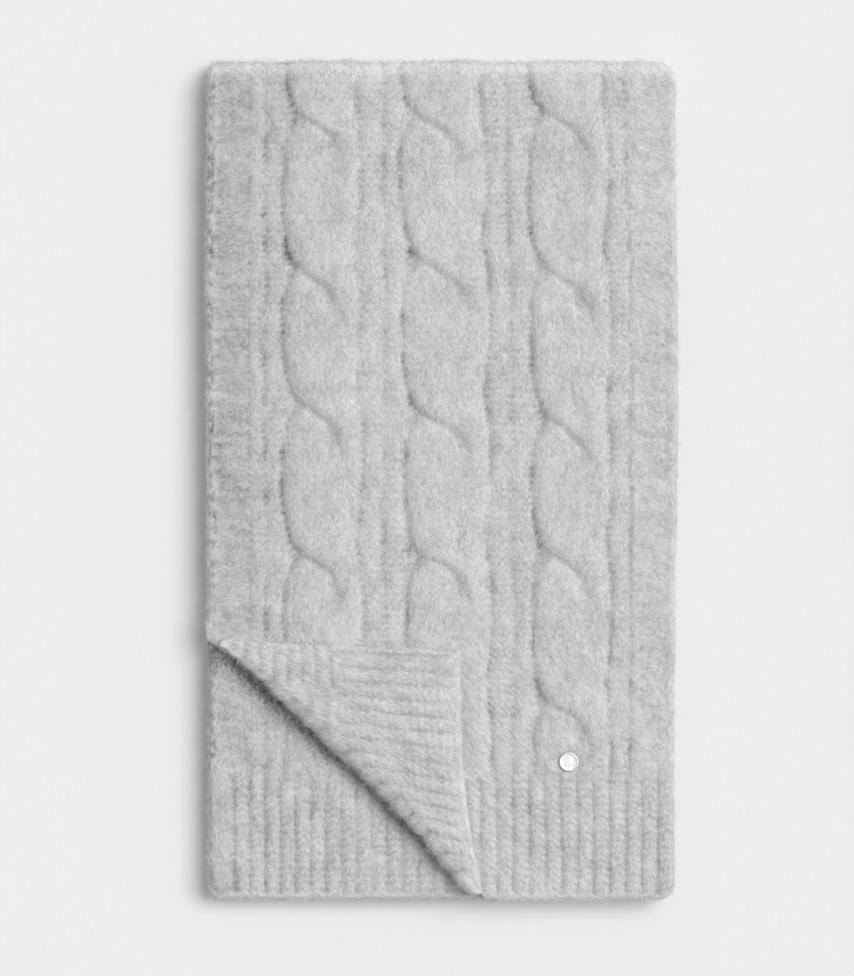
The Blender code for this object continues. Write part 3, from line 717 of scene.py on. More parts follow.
def section(start, columns_top, columns_under):
    """A ring's columns across the cloth and which side each lies on: over the top, back below."""
    edge = edge_spread(EDGE_COLUMNS)
    top = np.linspace(0.0, 1.0, columns_top)[1:-1]
    under = np.linspace(1.0, 0.0, columns_under)[1:-1]
    left = start[:, None] + edge
    right = WIDTH - edge[::-1] + 0.0 * start[:, None]
    middle = mix(left[:, -1:], right[:, :1], top)
    below = mix(left[:, -1:], right[:, :1], under)
    across = np.concatenate([left, middle, right, right[:, -2::-1], below, left[:, :0:-1]], axis=1)
    upper = EDGE_COLUMNS * 2 + columns_top - 2
    side = np.where(np.arange(across.shape[1]) < upper, 1.0, -1.0)
    return across, side


def scallops(along, across, seed):
    """A selvedge's small loops, from -1 to 1: a cosine along it, mostly lost in uneven lumps."""
    turns = along / GARTER_PITCH + 0.4 * patches(along, across, 20.0, seed)
    loops = np.cos(2.0 * math.pi * turns)
    return 0.4 * loops + 0.7 * patches(along, across, 5.0, seed + 1)


def shade_of(rise, side, thin, lit, greyer, across, along):
    """Painted shade of a wall's top: deeper in grooves, lighter near free edges as painted light,
    greyer to the left.
    """
    painted_shade = hollow_of(rise, side) * (1.0 - 0.8 * thin) - lit * thin * (side > 0)
    return softened(painted_shade + greyer * greyness(across, along) * (side > 0), across, along)


def walled(wall, raised, side, round_edge):
    """Depth of a closed wall's points: its top stands raised, and both sides meet at its edges."""
    depth = (wall + raised) * (0.5 + 0.5 * side * round_edge)
    return np.where(side > 0, depth, np.minimum(depth, wall * (0.5 - 0.5 * round_edge)))


def front_shell(sizes):
    """The front from its hem over the top fold, with the corner's cut at its lower left.

    Its knitting fades out round the fold, and the hidden edge along the cut is tucked back under
    the turned-back corner.
    """
    over = wrap_end(FRONT_FLOOR) - WRAP_LIP
    paths = np.concatenate([
        edge_spread(EDGE_COLUMNS)[:-1],
        evenly(EDGE_ROUND, TURN, sizes.pitch),
        evenly(TURN, over, sizes.pitch)[1:],
        evenly(over, over + WRAP_LIP, 5.0)[1:],
    ])
    tucked = 14.0 * smooth((paths - 135.0) / 25.0) + 5.0 * smooth(1.0 - paths / 12.0)
    start = np.where(paths < CUT_TOP, np.maximum(cut_at(paths) - tucked, 0.0), 0.0)
    across, side = section(start, sizes.columns, 8)
    path = paths[:, None] + 0.0 * across
    along = np.minimum(path, LENGTH)
    progress = wrap_progress(path, FRONT_FLOOR)
    above_cut = smooth((path - CUT_TOP + 6.0) / 6.0)
    from_left = mix(np.maximum(across, 30.0), across, above_cut)
    edge = np.minimum.reduce([from_left, WIDTH - across, path])
    rise = front_rise(across, along, sizes) + unevenness(across, along, 31, sizes)
    # Painted light near free edges and, stronger, over the top fold; painted shade in grooves and
    # below the creases.
    over_fold = smooth((path - TURN) / 8.0)
    thin = np.maximum(1.0 - bulge(edge, RIM), over_fold)
    painted_shade = shade_of(rise, side, thin, RIM_LIGHT * (1.0 + 1.2 * over_fold), 1.0, across, along)
    body = smooth((path - HEM_LENGTH) / 10.0) * (1.0 - thin) * (side > 0)
    creased = crease_shade(across, along) * (1.0 - pressed_at(across, along))
    painted_shade = painted_shade + CREASE_SHADE * body * creased
    rise = mix(rise, 0.3 * rise + 1.5, smooth(2 * progress)) * (1.0 - smooth(2 * progress - 1.0))
    wall = mix(FRONT_WALL, LAYER, smooth(progress)) - 0.35
    depth = walled(wall, rise * smooth(edge / EDGE_ROUND), side, bulge(edge))
    points = wrapped(across, path, FRONT_FLOOR, depth)
    left_out = smooth(1.0 - across / 8.0)
    right_out = 0.6 * smooth(1.0 - (WIDTH - across) / 8.0)
    points[..., 0] -= scallops(along, across, 33) * (left_out - right_out)
    return Shell(points, painted_shade)


def hollow_of(rise, side):
    """How deep in the knitting a point lies, from 0 on a ridge to 1 in a groove, as the base of its
    painted shade.
    """
    return np.where(side > 0, smooth((1.5 - rise) / 2.2), 0.5)


def second_rise(across, path, sizes):
    """Height of the second stretch where it shows, with a groove round its curled corner.

    Also how far in a point lies on that corner, from 0 at its centre to 1 at its edge.
    """
    along = np.minimum(path, LENGTH)
    body = body_rise(across, along, sizes)
    body = np.where(across < 30.0, 1.3 * body - 0.4, 0.7 * body)
    hem = 0.98 * rib_rise(SECOND_RIBS, across, along, sizes, 2.7)
    hem = mix(1.2, hem, smooth((across - 11.0) / 4.0))
    from_curl = np.hypot(
        (across - CURL_CENTRE[0]) / CURL_SIZE[0], (path - CURL_CENTRE[1]) / CURL_SIZE[1]
    )
    from_curl = from_curl + 0.2 * patches(across, path, 6.0, 44)
    rise = mix(hem, body, hem_end(across, along)) + unevenness(across, along, 41, sizes)
    return rise - 0.6 * bell(from_curl - 1.1, 0.18), from_curl


def roll_shade(across, path, seen):
    """The shade that the turned-back corner's roll leaves on the wool to its lower left."""
    fold_share = (FOLD_START[1] - path) / (FOLD_START[1] - FOLD_END[1])
    lower = smooth((fold_share - 0.45) / 0.15)
    roll = ROLL_OUTER + LIP + roll_edge(fold_share, "out")
    beside_roll = (seen - across) * SQUARE_TO_FOLD - roll
    shaded = np.clip(1.0 - beside_roll / roll_edge(fold_share, "shaded"), 0.0, 1.0)
    # The roll's painted shadow, held to a most.
    deep = np.minimum(mix(*UNDER_ROLL, lower) * shaded**1.5, mix(*UNDER_ROLL_MOST, lower))
    ends = (0.3 + 0.7 * smooth(path / 38.0)) * smooth((CUT_TOP + 2.0 - path) / 6.0)
    return deep * smooth((215.0 - across) / 20.0) * ends


def second_shell(sizes):
    """The second stretch from its hem round the inner fold, raised only where it shows."""
    over = wrap_end(SECOND_FLOOR) - WRAP_LIP
    paths = np.concatenate([
        edge_spread(EDGE_COLUMNS)[:-1],
        evenly(EDGE_ROUND, CUT_TOP + 4.0, sizes.pitch),
        evenly(CUT_TOP + 4.0, TURN, 5.0)[1:],
        evenly(TURN, over, 1.5)[1:],
        evenly(over, over + WRAP_LIP, 5.0)[1:],
    ])
    edge = edge_spread(EDGE_COLUMNS)
    fine = np.linspace(EDGE_ROUND, 176.0, sizes.second_columns)[1:]
    coarse = np.linspace(fine[-1], WIDTH - EDGE_ROUND, 8)[1:-1]
    below = np.linspace(WIDTH - EDGE_ROUND, EDGE_ROUND, 8)[1:-1]
    right = WIDTH - edge[::-1]
    top = np.concatenate([edge, fine, coarse, right])
    under = np.concatenate([right[-2::-1], below, edge[:0:-1]])
    across = np.concatenate([top, under])[None, :] + 0.0 * paths[:, None]
    side = np.concatenate([np.ones(len(top)), -np.ones(len(under))])
    path = paths[:, None] + 0.0 * across
    seen = np.clip(cut_at(paths[:, None]), 0.0, WIDTH)
    rise, from_curl = second_rise(across, path, sizes)
    shows = 1.0 - smooth((across - seen + ROLL_OUTER) / ROLL_OUTER)
    shows = shows * smooth((CUT_TOP - path) / EDGE_ROUND)
    curl = CURL * smooth(2.4 - 2.4 * from_curl)
    puff = PUFF * bell(across - 8.0, 13.0) * smooth((path - 2.0) / 20.0)
    distance = np.minimum.reduce([across, WIDTH - across, path])
    raised = mix(-0.4, (rise - 0.8 + curl + puff) * smooth(distance / EDGE_ROUND), shows)
    points = wrapped(across, path, SECOND_FLOOR, walled(LAYER, raised, side, bulge(distance)))
    greyer = mix(0.5, 0.8, smooth((path - HEM_LENGTH) / 20.0))
    thin = 1.0 - bulge(distance, RIM)
    along = np.minimum(path, LENGTH)
    # Painted shade in grooves and painted light near free edges, then the roll's painted shadow
    # beside the fold.
    painted_shade = shade_of(rise, side, thin, 0.5 * RIM_LIGHT, greyer, across, along)
    return Shell(points, np.maximum(painted_shade, roll_shade(across, path, seen) * (side > 0)))


# Turned-back corner


def corner_rise_at(across, from_hem, sizes):
    """Height of the corner's wrong side: ribs at its hem, then bars, with garter at its selvedge.

    Gives the steady pattern, and the same with the cloth's unevenness.
    """
    ribs = rib_rise(FLAP_RIBS, across, from_hem, sizes, 1.4, 0.4)
    ribs = mix(0.7 * sizes.hem_rib, ribs, smooth((from_hem - 2.0) / 9.0))
    wave = 0.4 * patches(across, from_hem, 16.0, 55)
    courses = 0.4 * np.cos(2.0 * math.pi * (from_hem / (2 * COURSE) + wave))
    bars = 0.35 * np.abs(np.sin(math.pi * across / FLAP_RIBS.pitch)) + courses + 0.7
    ridges = np.abs(np.sin(math.pi * (from_hem / GARTER_PITCH + 0.5 * wave))) ** 0.7
    bars = mix(1.5 * ridges - 0.1, bars, smooth((across - 27.0) / 8.0))
    steady = 1.1 * mix(ribs, bars, smooth((from_hem - HEM_LENGTH) / 6.0)) - 0.4
    return steady, steady + unevenness(across, from_hem, 51, sizes)


def free_edge(side):
    """The corner's wall and how far it hangs, both less than full near its free edges."""
    wall = FLAP_WALL - THINNED * (1.0 - smooth(side / THINNED_REACH))
    return wall, DRAPE * (1.0 - smooth(side / DRAPE_REACH))


def corner_shell(sizes):
    """The corner: ribs run from its hem end to the fold, half round the roll and under to a lip.

    Each row of the grid is one line across the fold. Its ring is the wrong side of the knit, which
    shows, then the plain side back from the lip to the hem. The roll is half a circle, squarer in
    its upper quarter.
    """
    height = FLAP_CORNER[1] - FOLD_END[1]
    lines = np.concatenate([
        edge_spread(EDGE_COLUMNS)[:-1],
        evenly(EDGE_ROUND, height, sizes.pitch),
    ])
    share = (lines / height)[:, None]
    top = roll_top(share[:, 0])
    facing = roll_direction(share[:, 0])
    end = roll_top(np.array(1.0))
    hem_across = mix(FLAP_CORNER[0], end[0], share[:, 0] ** HEM_CURVE)
    hem = np.stack([hem_across, mix(FLAP_CORNER[1], end[1], share[:, 0])], axis=-1)
    run = np.linalg.norm(top - hem, axis=1)[:, None]
    edge = edge_spread(EDGE_COLUMNS) * np.minimum(1.0, run / 20.0)
    inner = mix(edge[:, -1:], run, np.linspace(0.0, 1.0, sizes.corner_columns)[1:])

    def flat_at(from_hem, depth):
        """Points of the flat part, from its hem towards the roll."""
        flat = mix(hem[:, None], top[:, None], (from_hem / np.maximum(run, 1e-6))[..., None])
        return place(flat[..., 0], flat[..., 1], FLAP_UNDER + depth)

    def rolled_at(turns, out, up):
        """Points of the roll, out and up from its centre, as its cloth creeps along the fold."""
        creep = all_skew * turns / math.pi
        at = top[:, None] - creep[..., None] * FOLD_ALONG + out[..., None] * facing[:, None]
        return place(at[..., 0], at[..., 1], FLAP_UNDER - ROLL_INNER + up)

    from_hem = np.concatenate([edge, inner], axis=1)
    across = lines[:, None] + 0.0 * from_hem
    side = np.minimum(across, from_hem)
    steady, rise = corner_rise_at(across, from_hem, sizes)
    raised = rise * smooth(side / EDGE_ROUND)
    wall, hang = free_edge(side)
    outer = flat_at(from_hem, (wall + raised) * (0.5 + 0.5 * bulge(side)) - hang)

    turns = np.linspace(0.0, math.pi, 15)[1:]
    all_skew = np.minimum(ROLL_SKEW * (1.0 - share), 1.4 * lines[:, None])
    extra = raised[:, -1:] * (1.0 - smooth((turns / math.pi - 0.5) * 2))
    ripple = 0.7 * patches(lines[:, None], 12.0 * turns, 11.0, 61) * np.sin(turns)
    reach = ROLL_OUTER + extra + ripple
    plump = roll_edge(share, "out") * np.sin(turns)
    upper = turns < math.pi / 2
    out = np.where(upper, np.sin(turns) ** ROLL_SQUARE, np.sin(turns))
    up = np.where(upper, np.abs(np.cos(turns)) ** ROLL_SQUARE, np.cos(turns))
    roll = rolled_at(turns, (reach + plump) * out, reach * up)

    lip = top - all_skew * FOLD_ALONG - LIP * facing
    lip_outer = place(lip[:, 0], lip[:, 1], FRONT_FLOOR)[:, None]
    lip_inner = place(lip[:, 0], lip[:, 1], FRONT_FLOOR + FLAP_WALL)[:, None]
    back_turns = np.linspace(math.pi, 0.0, 7) + 0.0 * share
    inner_roll = rolled_at(
        back_turns, ROLL_INNER * np.sin(back_turns), ROLL_INNER * np.cos(back_turns)
    )
    back = np.concatenate([inner[:, -2::-12], edge[:, :0:-1]], axis=1)
    back_side = np.minimum(lines[:, None], back)
    wall, hang = free_edge(back_side)
    plain = flat_at(back, wall * (0.5 - 0.5 * bulge(back_side)) - hang)
    points = np.concatenate([outer, roll, lip_outer, lip_inner, inner_roll, plain], axis=1)

    # Painted shade of the corner: in its grooves and next to the roll, darkest on the roll's
    # underside and the hidden cloth; painted light near its free edges.
    ends = (smooth(lines / 14.0) * smooth((height - lines) / 20.0))[:, None]
    bent = BENT * ends * smooth(1.0 - (run - from_hem) / BENT_REACH)
    grooves = 1.15 * smooth((0.75 - 0.4 * rise - 0.6 * steady) / 1.3)
    shown = grooves - 0.3 * RIM_LIGHT * (1.0 - bulge(side, RIM)) - 0.24 + bent
    shown = np.minimum(shown, 0.95)
    over = mix(shown[:, -1:], mix(0.4, 0.8, ends), smooth(turns / 0.85))
    over = mix(over, mix(0.4, PAINTED_ROLL_SHADE, ends), smooth((turns / math.pi - 0.27) / 0.2))
    hidden = mix(0.4, PAINTED_ROLL_SHADE, smooth(lines / 8.0))[:, None]
    hidden = hidden + np.zeros((1, points.shape[1] - shown.shape[1] - len(turns)))
    shell = Shell(points, np.concatenate([shown, over, hidden], axis=1))
    shell.shown = shown.shape[1] + len(turns)
    return shell


# Hidden layers


def layers_shell():
    """The two layers below as one rounded body: a ring with two lobes at each side."""
    middle = SECOND_FLOOR / 2 - SEAM / 2
    half = middle / 2
    turn = np.radians(np.linspace(-90.0, 90.0, 9))
    heights = np.concatenate([half + half * np.sin(turn), middle + half + half * np.sin(turn[1:])])
    depth = LOBE_DEPTH * (1.0 - np.cos(turn))
    depths = np.concatenate([depth, depth[1:]]) + LOBE_INSET
    radius = SECOND_FLOOR / 2
    ends = np.radians(np.linspace(84.0, 0.0, 9))
    start = LAYERS_START + radius
    straight = evenly(start, TURN - WRAP_LIP - SEAM, 3.0)[1:]
    stations = np.concatenate([start - radius * np.sin(ends), straight])
    squash = np.concatenate([np.cos(ends), np.ones(len(straight))])[:, None]
    across_top = np.linspace(1.0, 0.0, 12)[1:-1]
    along = stations[:, None]
    lumps = 0.55 * np.cos(2.0 * math.pi * (along / GARTER_PITCH + heights / 16.0))
    lumps = lumps + 0.9 * patches(along, heights * 2.0, 13.0, 71)
    side = depths + (bell(heights - middle, 1.2) - 0.5 * lumps) * squash
    level = middle + (heights - middle) * squash
    right = place(WIDTH - side, along, level)
    left = place(side[:, ::-1], along, level[:, ::-1])
    over_x = mix(side[:, -1:], WIDTH - side[:, -1:], across_top)
    over = place(over_x, along, level[:, -1:])
    under = place(mix(WIDTH - side[:, :1], side[:, :1], across_top), along, level[:, :1])
    points = np.concatenate([right, over, left, under], axis=1)
    # The layers' sides carry an even, middling painted shade.
    return Shell(points, np.full(points.shape[:2], 0.45))


# Stud


def lathe(name, profile, sides, centre, material):
    """A profile of radius and height turned round an upright axis, closed at its poles."""
    turn = np.linspace(0.0, 2.0 * math.pi, sides, endpoint=False)
    rings = np.array(profile)
    x = centre[0] + rings[:, :1] * np.cos(turn)
    y = centre[1] + rings[:, :1] * np.sin(turn)
    z = rings[:, 1:] + 0.0 * x
    points = np.stack([x, y, z], axis=-1)
    index = np.arange(points.shape[0] * sides).reshape(-1, sides)
    following = np.roll(index, -1, axis=1)
    quads = np.stack([index[:-1], following[:-1], following[1:], index[1:]], axis=-1)
    faces = quads.reshape(-1, 4).tolist() + [index[0].tolist()[::-1], index[-1].tolist()]
    mesh = bpy.data.meshes.new(name)
    mesh.from_pydata(points.reshape(-1, 3) * MM, [], faces)
    mesh.materials.append(material)
    mesh.shade_smooth()
    mesh.set_sharp_from_angle(angle=math.radians(35))
    return link(name, mesh)


# Brushed fibres


def look_up(grid, row, column):
    """Values of a grid at fractional rows and columns, blended from the four points around."""
    row = np.clip(row, 0.0, grid.shape[0] - 1.001)
    count = grid.shape[1]
    low = row.astype(int)
    left = np.floor(column).astype(int)
    up = (row - low).reshape(-1, *([1] * (grid.ndim - 2)))
    right = (column - left).reshape(-1, *([1] * (grid.ndim - 2)))
    left, beside = left % count, (left + 1) % count
    near = mix(grid[low, left], grid[low, beside], right)
    far = mix(grid[low + 1, left], grid[low + 1, beside], right)
    return mix(near, far, up)


def roots(shell, weights, count, rng):
    """Random places on a shell's grid, as many to an area as its weight asks."""
    area = np.linalg.norm(np.cross(shell.down, shell.around), axis=2)[:-1] * weights[:-1]
    total = np.cumsum(area.ravel())
    cells = np.searchsorted(total, rng.uniform(0.0, total[-1], count))
    row, column = np.unravel_index(np.minimum(cells, area.size - 1), area.shape)
    return row + rng.random(count), column + rng.random(count)


# A coat's fibres: their length and width, how far they lift, what share is loose and lifts
# further, and how widely their headings spread, all in mm or radians
Coat = namedtuple("Coat", "length width lift loose loose_lift spread")
FIBRE_ROOT = -0.2  # how far a fibre's root lies below the knit's face


def fibre_points(shell, row, column, heading, coat, rng):
    """Three stations of each fibre: its root in the knit, its middle and its tip above it."""
    count = len(row)
    length = coat.length * rng.uniform(0.55, 1.45, count)
    length = length * (1.0 - 0.35 * np.clip(look_up(shell.painted_shade, row, column), 0.0, 1.0))
    loose = rng.random(count) < coat.loose
    lift = np.where(loose, coat.loose_lift, coat.lift) * rng.uniform(0.25, 1.35, count)
    angle = heading + rng.normal(0.0, coat.spread, count) + math.pi * (rng.random(count) < 0.5)
    bend = rng.normal(0.0, 0.5, count)
    down = np.linalg.norm(look_up(shell.down, row, column), axis=1)
    around = np.linalg.norm(look_up(shell.around, row, column), axis=1)
    down, around = np.maximum(down, 0.4), np.maximum(around, 0.4)
    places = [(row, column)]
    for turn in (0.0, bend):
        step = length / 2
        row = row + step * np.cos(angle + turn) / down
        column = column + step * np.sin(angle + turn) / around
        places.append((row, column))
    lifts = (FIBRE_ROOT + 0.0 * lift, lift, lift * rng.uniform(0.3, 1.9, count))
    points = []
    for (at_row, at_column), height in zip(places, lifts):
        normal = look_up(shell.normals, at_row, at_column)
        points.append(look_up(shell.points, at_row, at_column) + normal * height[:, None])
    return points, look_up(shell.normals, places[1][0], places[1][1])


def fibre_mesh(name, points, normals, width, tone, material, rng):
    """Ribbons in one mesh: a quad from root to middle and a triangle to the tip."""
    root, middle, tip = points
    count = len(root)
    run = tip - root
    run /= np.maximum(np.linalg.norm(run, axis=1, keepdims=True), 1e-9)
    beside = np.cross(run, normals)
    beside /= np.maximum(np.linalg.norm(beside, axis=1, keepdims=True), 1e-9)
    roll = rng.uniform(-1.1, 1.1, (count, 1))
    beside = np.cos(roll) * beside + np.sin(roll) * np.cross(beside, run)
    half = beside * width / 2
    vertices = np.stack([root - half, root + half, middle + half, middle - half, tip], axis=1)
    vertices[..., 2] = np.maximum(vertices[..., 2], 0.25)
    first = np.arange(count)[:, None] * 5
    corners = first + np.array([0, 1, 2, 3, 3, 2, 4])
    starts = np.arange(count)[:, None] * 7 + np.array([0, 4])
    sizes = np.tile([4, 3], count)
    mesh = bpy.data.meshes.new(name)
    mesh.vertices.add(count * 5)
    mesh.vertices.foreach_set("co", (vertices * MM).astype(np.float32).ravel())
    mesh.loops.add(count * 7)
    mesh.loops.foreach_set("vertex_index", corners.astype(np.int32).ravel())
    mesh.polygons.add(count * 2)
    mesh.polygons.foreach_set("loop_start", starts.astype(np.int32).ravel())
    mesh.polygons.foreach_set("loop_total", sizes.astype(np.int32))
    mesh.update(calc_edges=True)
    layer = mesh.attributes.new("tone", "FLOAT", "POINT")
    layer.data.foreach_set("value", np.repeat(tone, 5).astype(np.float32))
    mesh.materials.append(material)
    mesh.shade_smooth()
    return link(name, mesh)


def lie_of(points):
    """The way the front's fibres lie: across in the garter bands, with the strands on cables."""
    across, along = points[:, 0] + WIDTH / 2, points[:, 1] + LENGTH / 2
    heading = 0.25 * patches(across, along, 18.0, 91)
    for band in BANDS:
        inside = (across > band.hem_left) & (across < band.hem_right) & (along > HEM_LENGTH)
        if band.kind == "garter":
            heading = np.where(inside, math.pi / 2, heading)
        elif band.kind != "rib":
            offset = crossing_offset(band.kind, along)
            heading = np.where(inside, heading + 0.5 * bell(offset, 18.0), heading)
    return heading


def tone_of(x, y, depth, rng):
    """Each fibre's tone: cloudy as heather wool is, and darker with painted shade where the knit is
    deep, mottled by pores.
    """
    clouds = 0.12 * patches(x, y, 11.0, 7) + 0.08 * patches(x, y, 4.0, 9)
    clouds = clouds + 0.15 * patches(x, y / 2.0, 1.9, 8)
    pores = np.maximum(0.0, patches(x, y, 1.5, 10))
    tone = 0.75 + clouds + rng.normal(0.0, 0.13, len(x)) - depth * (0.2 + 0.06 * depth**2)
    return np.clip(tone - np.clip(depth, 0.0, 1.0) ** 2 * 0.2 * pores, 0.0, 1.0)


def brush(name, shell, weights, heading_at, count, coat, material, seed):
    """A coat of fibres on a shell, lying the way that their places ask."""
    rng = np.random.default_rng(seed)
    row, column = roots(shell, weights, count, rng)
    heading = heading_at(look_up(shell.points, row, column)) if callable(heading_at) else heading_at
    points, normals = fibre_points(shell, row, column, heading, coat, rng)
    tone = tone_of(points[0][:, 0], points[0][:, 1], look_up(shell.painted_shade, row, column), rng)
    obj = fibre_mesh(name, points, normals, coat.width, tone, material, rng)


# Shader nodes


class Value:
    """A node socket that adds, subtracts and multiplies by making Math nodes."""

    def __init__(self, nodes, socket):
        self.nodes = nodes
        self.socket = socket

    def math(self, operation, first, second):
        """A Math node on two values, of which either may be a plain number."""
        sockets = {0: first, 1: second}
        return self.nodes.add("ShaderNodeMath", {"operation": operation}, sockets)

    def __add__(self, other):
        return self.math("ADD", self, other)

    def __sub__(self, other):
        return self.math("SUBTRACT", self, other)

    def __rsub__(self, other):
        return self.math("SUBTRACT", other, self)

    def __mul__(self, other):
        return self.math("MULTIPLY", self, other)

    __radd__ = __add__
    __rmul__ = __mul__


class Nodes:
    """A material's node tree: each node comes from its type, settings and sockets."""

    def __init__(self, name):
        self.material = bpy.data.materials.new(name)
        self.material.use_nodes = True
        self.tree = self.material.node_tree
        self.shader = self.tree.nodes["Principled BSDF"]

    def add(self, kind, settings=None, sockets=None, output=0):
        """A node of a kind, with its settings and its sockets' values, as one of its outputs."""
        node = self.tree.nodes.new(kind)
        for key, setting in (settings or {}).items():
            setattr(node, key, setting)
        for key, value in (sockets or {}).items():
            self.put(node.inputs[key], value)
        return Value(self, node.outputs[output])

    def put(self, socket, value):
        """Links a value to a socket, or sets a constant on the socket itself."""
        if isinstance(value, Value):
            self.tree.links.new(value.socket, socket)
        else:
            socket.default_value = value

    def finish(self, **sockets):
        """Sets the shader's sockets, and gives the finished material."""
        for name, value in sockets.items():
            self.put(self.shader.inputs[name.replace("_", " ")], value)
        return self.material

    def place(self):
        """Object coordinates."""
        return self.add("ShaderNodeTexCoord", output=3)

    def attribute(self, name):
        """A number that the mesh's own points carry."""
        return self.add("ShaderNodeAttribute", {"attribute_name": name}, output=2)

    def noise(self, place_at, scale, detail=2.0, stretch=(1.0, 1.0, 1.0)):
        """Noise on object coordinates, finer in the directions that are stretched more."""
        moved = self.add("ShaderNodeMapping", {}, {"Vector": place_at, "Scale": stretch})
        sockets = {"Vector": moved, "Scale": scale, "Detail": detail}
        return self.add("ShaderNodeTexNoise", {}, sockets)

    def blend(self, share, first, second):
        """A colour between two, by share."""
        sockets = {0: share, 6: (*first, 1.0), 7: (*second, 1.0)}
        return self.add("ShaderNodeMix", {"data_type": "RGBA"}, sockets, output=2)

    def bump(self, height, strength, distance):
        """A normal bent by a height, whose full range is a distance in metres."""
        sockets = {"Height": height, "Strength": strength, "Distance": distance}
        return self.add("ShaderNodeBump", {}, sockets)


def knit_material(name, colors):
    """Brushed wool: its grey follows cloudy heather patches, and painted shade that follows the
    knitting's depth.
    """
    nodes = Nodes(name)
    at = nodes.place()
    painted_shade = nodes.attribute("painted_shade")
    clouds = nodes.noise(at, 70.0, 3.0)
    specks = nodes.noise(at, 900.0, 1.0)
    pores = nodes.noise(at, 520.0, 1.0)
    # Painted shade from the points' attribute, mottled by pores: darker in grooves, under the roll
    # and below creases; below 0 it is painted light.
    depth = painted_shade * (0.22 + 0.1 * painted_shade * painted_shade + 0.6 * painted_shade * (pores - 0.45))
    share = WOOL_LEVEL - depth + 0.34 * (clouds - 0.5) + 0.6 * (specks - 0.5)
    strands = nodes.noise(at, 1100.0, 2.0, (1.0, 0.35, 1.0))
    return nodes.finish(
        Base_Color=nodes.blend(share, colors.wool_dark, colors.wool_light),
        Roughness=0.95,
        Normal=nodes.bump(strands, 0.5, 0.0004),
        Sheen_Weight=0.25,
        Sheen_Roughness=0.6,
    )


def fibre_material(name, colors):
    """Single fibres, from dark to light grey by the tone that each carries."""
    nodes = Nodes(name)
    color = nodes.blend(nodes.attribute("tone"), colors.fibre_dark, colors.fibre_light)
    return nodes.finish(Base_Color=color, Roughness=0.85, Sheen_Weight=0.2)


def metal_material(name, colors):
    """Polished metal with a cloudy shine and fine scratches."""
    nodes = Nodes(name)
    at = nodes.place()
    cloud = nodes.noise(at, 650.0, 2.0) - 0.5
    scratches = nodes.noise(at, 1500.0, 2.0, (1.0, 0.15, 1.0))
    return nodes.finish(
        Base_Color=nodes.blend(0.5 + 2.2 * cloud, colors.stud, colors.stud_shine),
        Roughness=0.5 + 0.2 * cloud,
        Metallic=1.0,
        Normal=nodes.bump(scratches, 0.15, 0.0001),
    )


def floor_material(name, colors):
    """A matt pale floor with the faintest unevenness."""
    nodes = Nodes(name)
    cloud = nodes.noise(nodes.place(), 3.0, 2.0)
    color = nodes.blend(cloud, colors.floor, colors.floor_light)
    return nodes.finish(Base_Color=color, Roughness=1.0, Specular_IOR_Level=0.0)


# What a user may change


def millimetres(name, description, default):
    """A length, given in millimetres and kept in metres."""
    return FloatProperty(
        name=name, description=description, default=default * MM, unit="LENGTH", precision=5
    )


def number(name, description, default):
    """A count, at least 1."""
    return IntProperty(name=name, description=description, default=default, min=1)


def color(name, description, default):
    """A colour, in linear red, green and blue."""
    return FloatVectorProperty(
        name=name, description=description, default=default, subtype="COLOR", min=0.0, max=1.0
    )


def in_millimetres(group):
    """A group's values by name, with its lengths in millimetres."""
    values = {name: getattr(group, name) for name in group.__annotations__}
    return SimpleNamespace(**{
        name: value / MM if isinstance(value, float) else value for name, value in values.items()
    })


class ScarfSizes(PropertyGroup):
    cable: millimetres("Cable rise", "Height of a cable", 3.6)
    rib: millimetres("Rib rise", "Height of a rib between the cables", 1.5)
    hem_rib: millimetres("Hem rib", "Height of a rib in the hems", 1.7)
    garter: millimetres("Garter", "Height of a garter ridge", 1.0)
    groove: millimetres("Groove", "Depth of the grooves in the hems", 0.8)
    stitch: millimetres("Stitch", "Height of one stitch", 0.16)
    lumps: millimetres("Unevenness", "Height of the cloth's soft lumps", 0.52)
    pitch: millimetres("Grid pitch", "Distance between the grid's rows", 1.4)
    columns: number("Front columns", "Grid columns across the front", 228)
    second_columns: number("Second columns", "Grid columns where the second layer shows", 126)
    corner_columns: number("Corner columns", "Grid columns from the corner's hem to its roll", 112)


class ScarfColors(PropertyGroup):
    wool_light: color("Wool, light", "The knit on its ridges", (0.76, 0.76, 0.76))
    # The darkest grey, which painted shade reaches in grooves and under the roll.
    wool_dark: color("Wool, dark", "The knit deep in its grooves", (0.12, 0.12, 0.12))
    fibre_light: color("Fibre, light", "The lightest fibres", (0.94, 0.94, 0.94))
    # The darkest fibres, reached where painted shade darkens their tone.
    fibre_dark: color("Fibre, dark", "The darkest fibres", (0.16, 0.16, 0.16))
    stud: color("Stud", "Polished metal", (0.68, 0.68, 0.69))
    stud_shine: color("Stud, light", "The metal where it is brightest", (0.92, 0.92, 0.92))
    floor: color("Floor", "Pale floor", (0.804, 0.804, 0.804))
    floor_light: color("Floor, light", "Its lighter patches", (0.806, 0.806, 0.806))


class ScarfCoat(PropertyGroup):
    front: number("Front fibres", "Fibres on the front", 150000)
    corner: number("Corner fibres", "Fibres on the turned-back corner", 26000)
    second: number("Second fibres", "Fibres on the second layer", 20000)
    sides: number("Side fibres", "Fibres on the hidden layers' edges", 10000)
    halo: number("Halo fibres", "Fibres that stand out along the edges", 9000)
    length: millimetres("Length", "Length of a fibre", 6.5)
    width: millimetres("Width", "Width of a fibre", 0.16)


class ScarfStage(PropertyGroup):
    sun: FloatProperty(name="Sun", description="Strength of the key light", default=2.28, min=0.0)
    sky: FloatProperty(name="Sky", description="Strength of the fill light", default=0.45, min=0.0)


# Operators

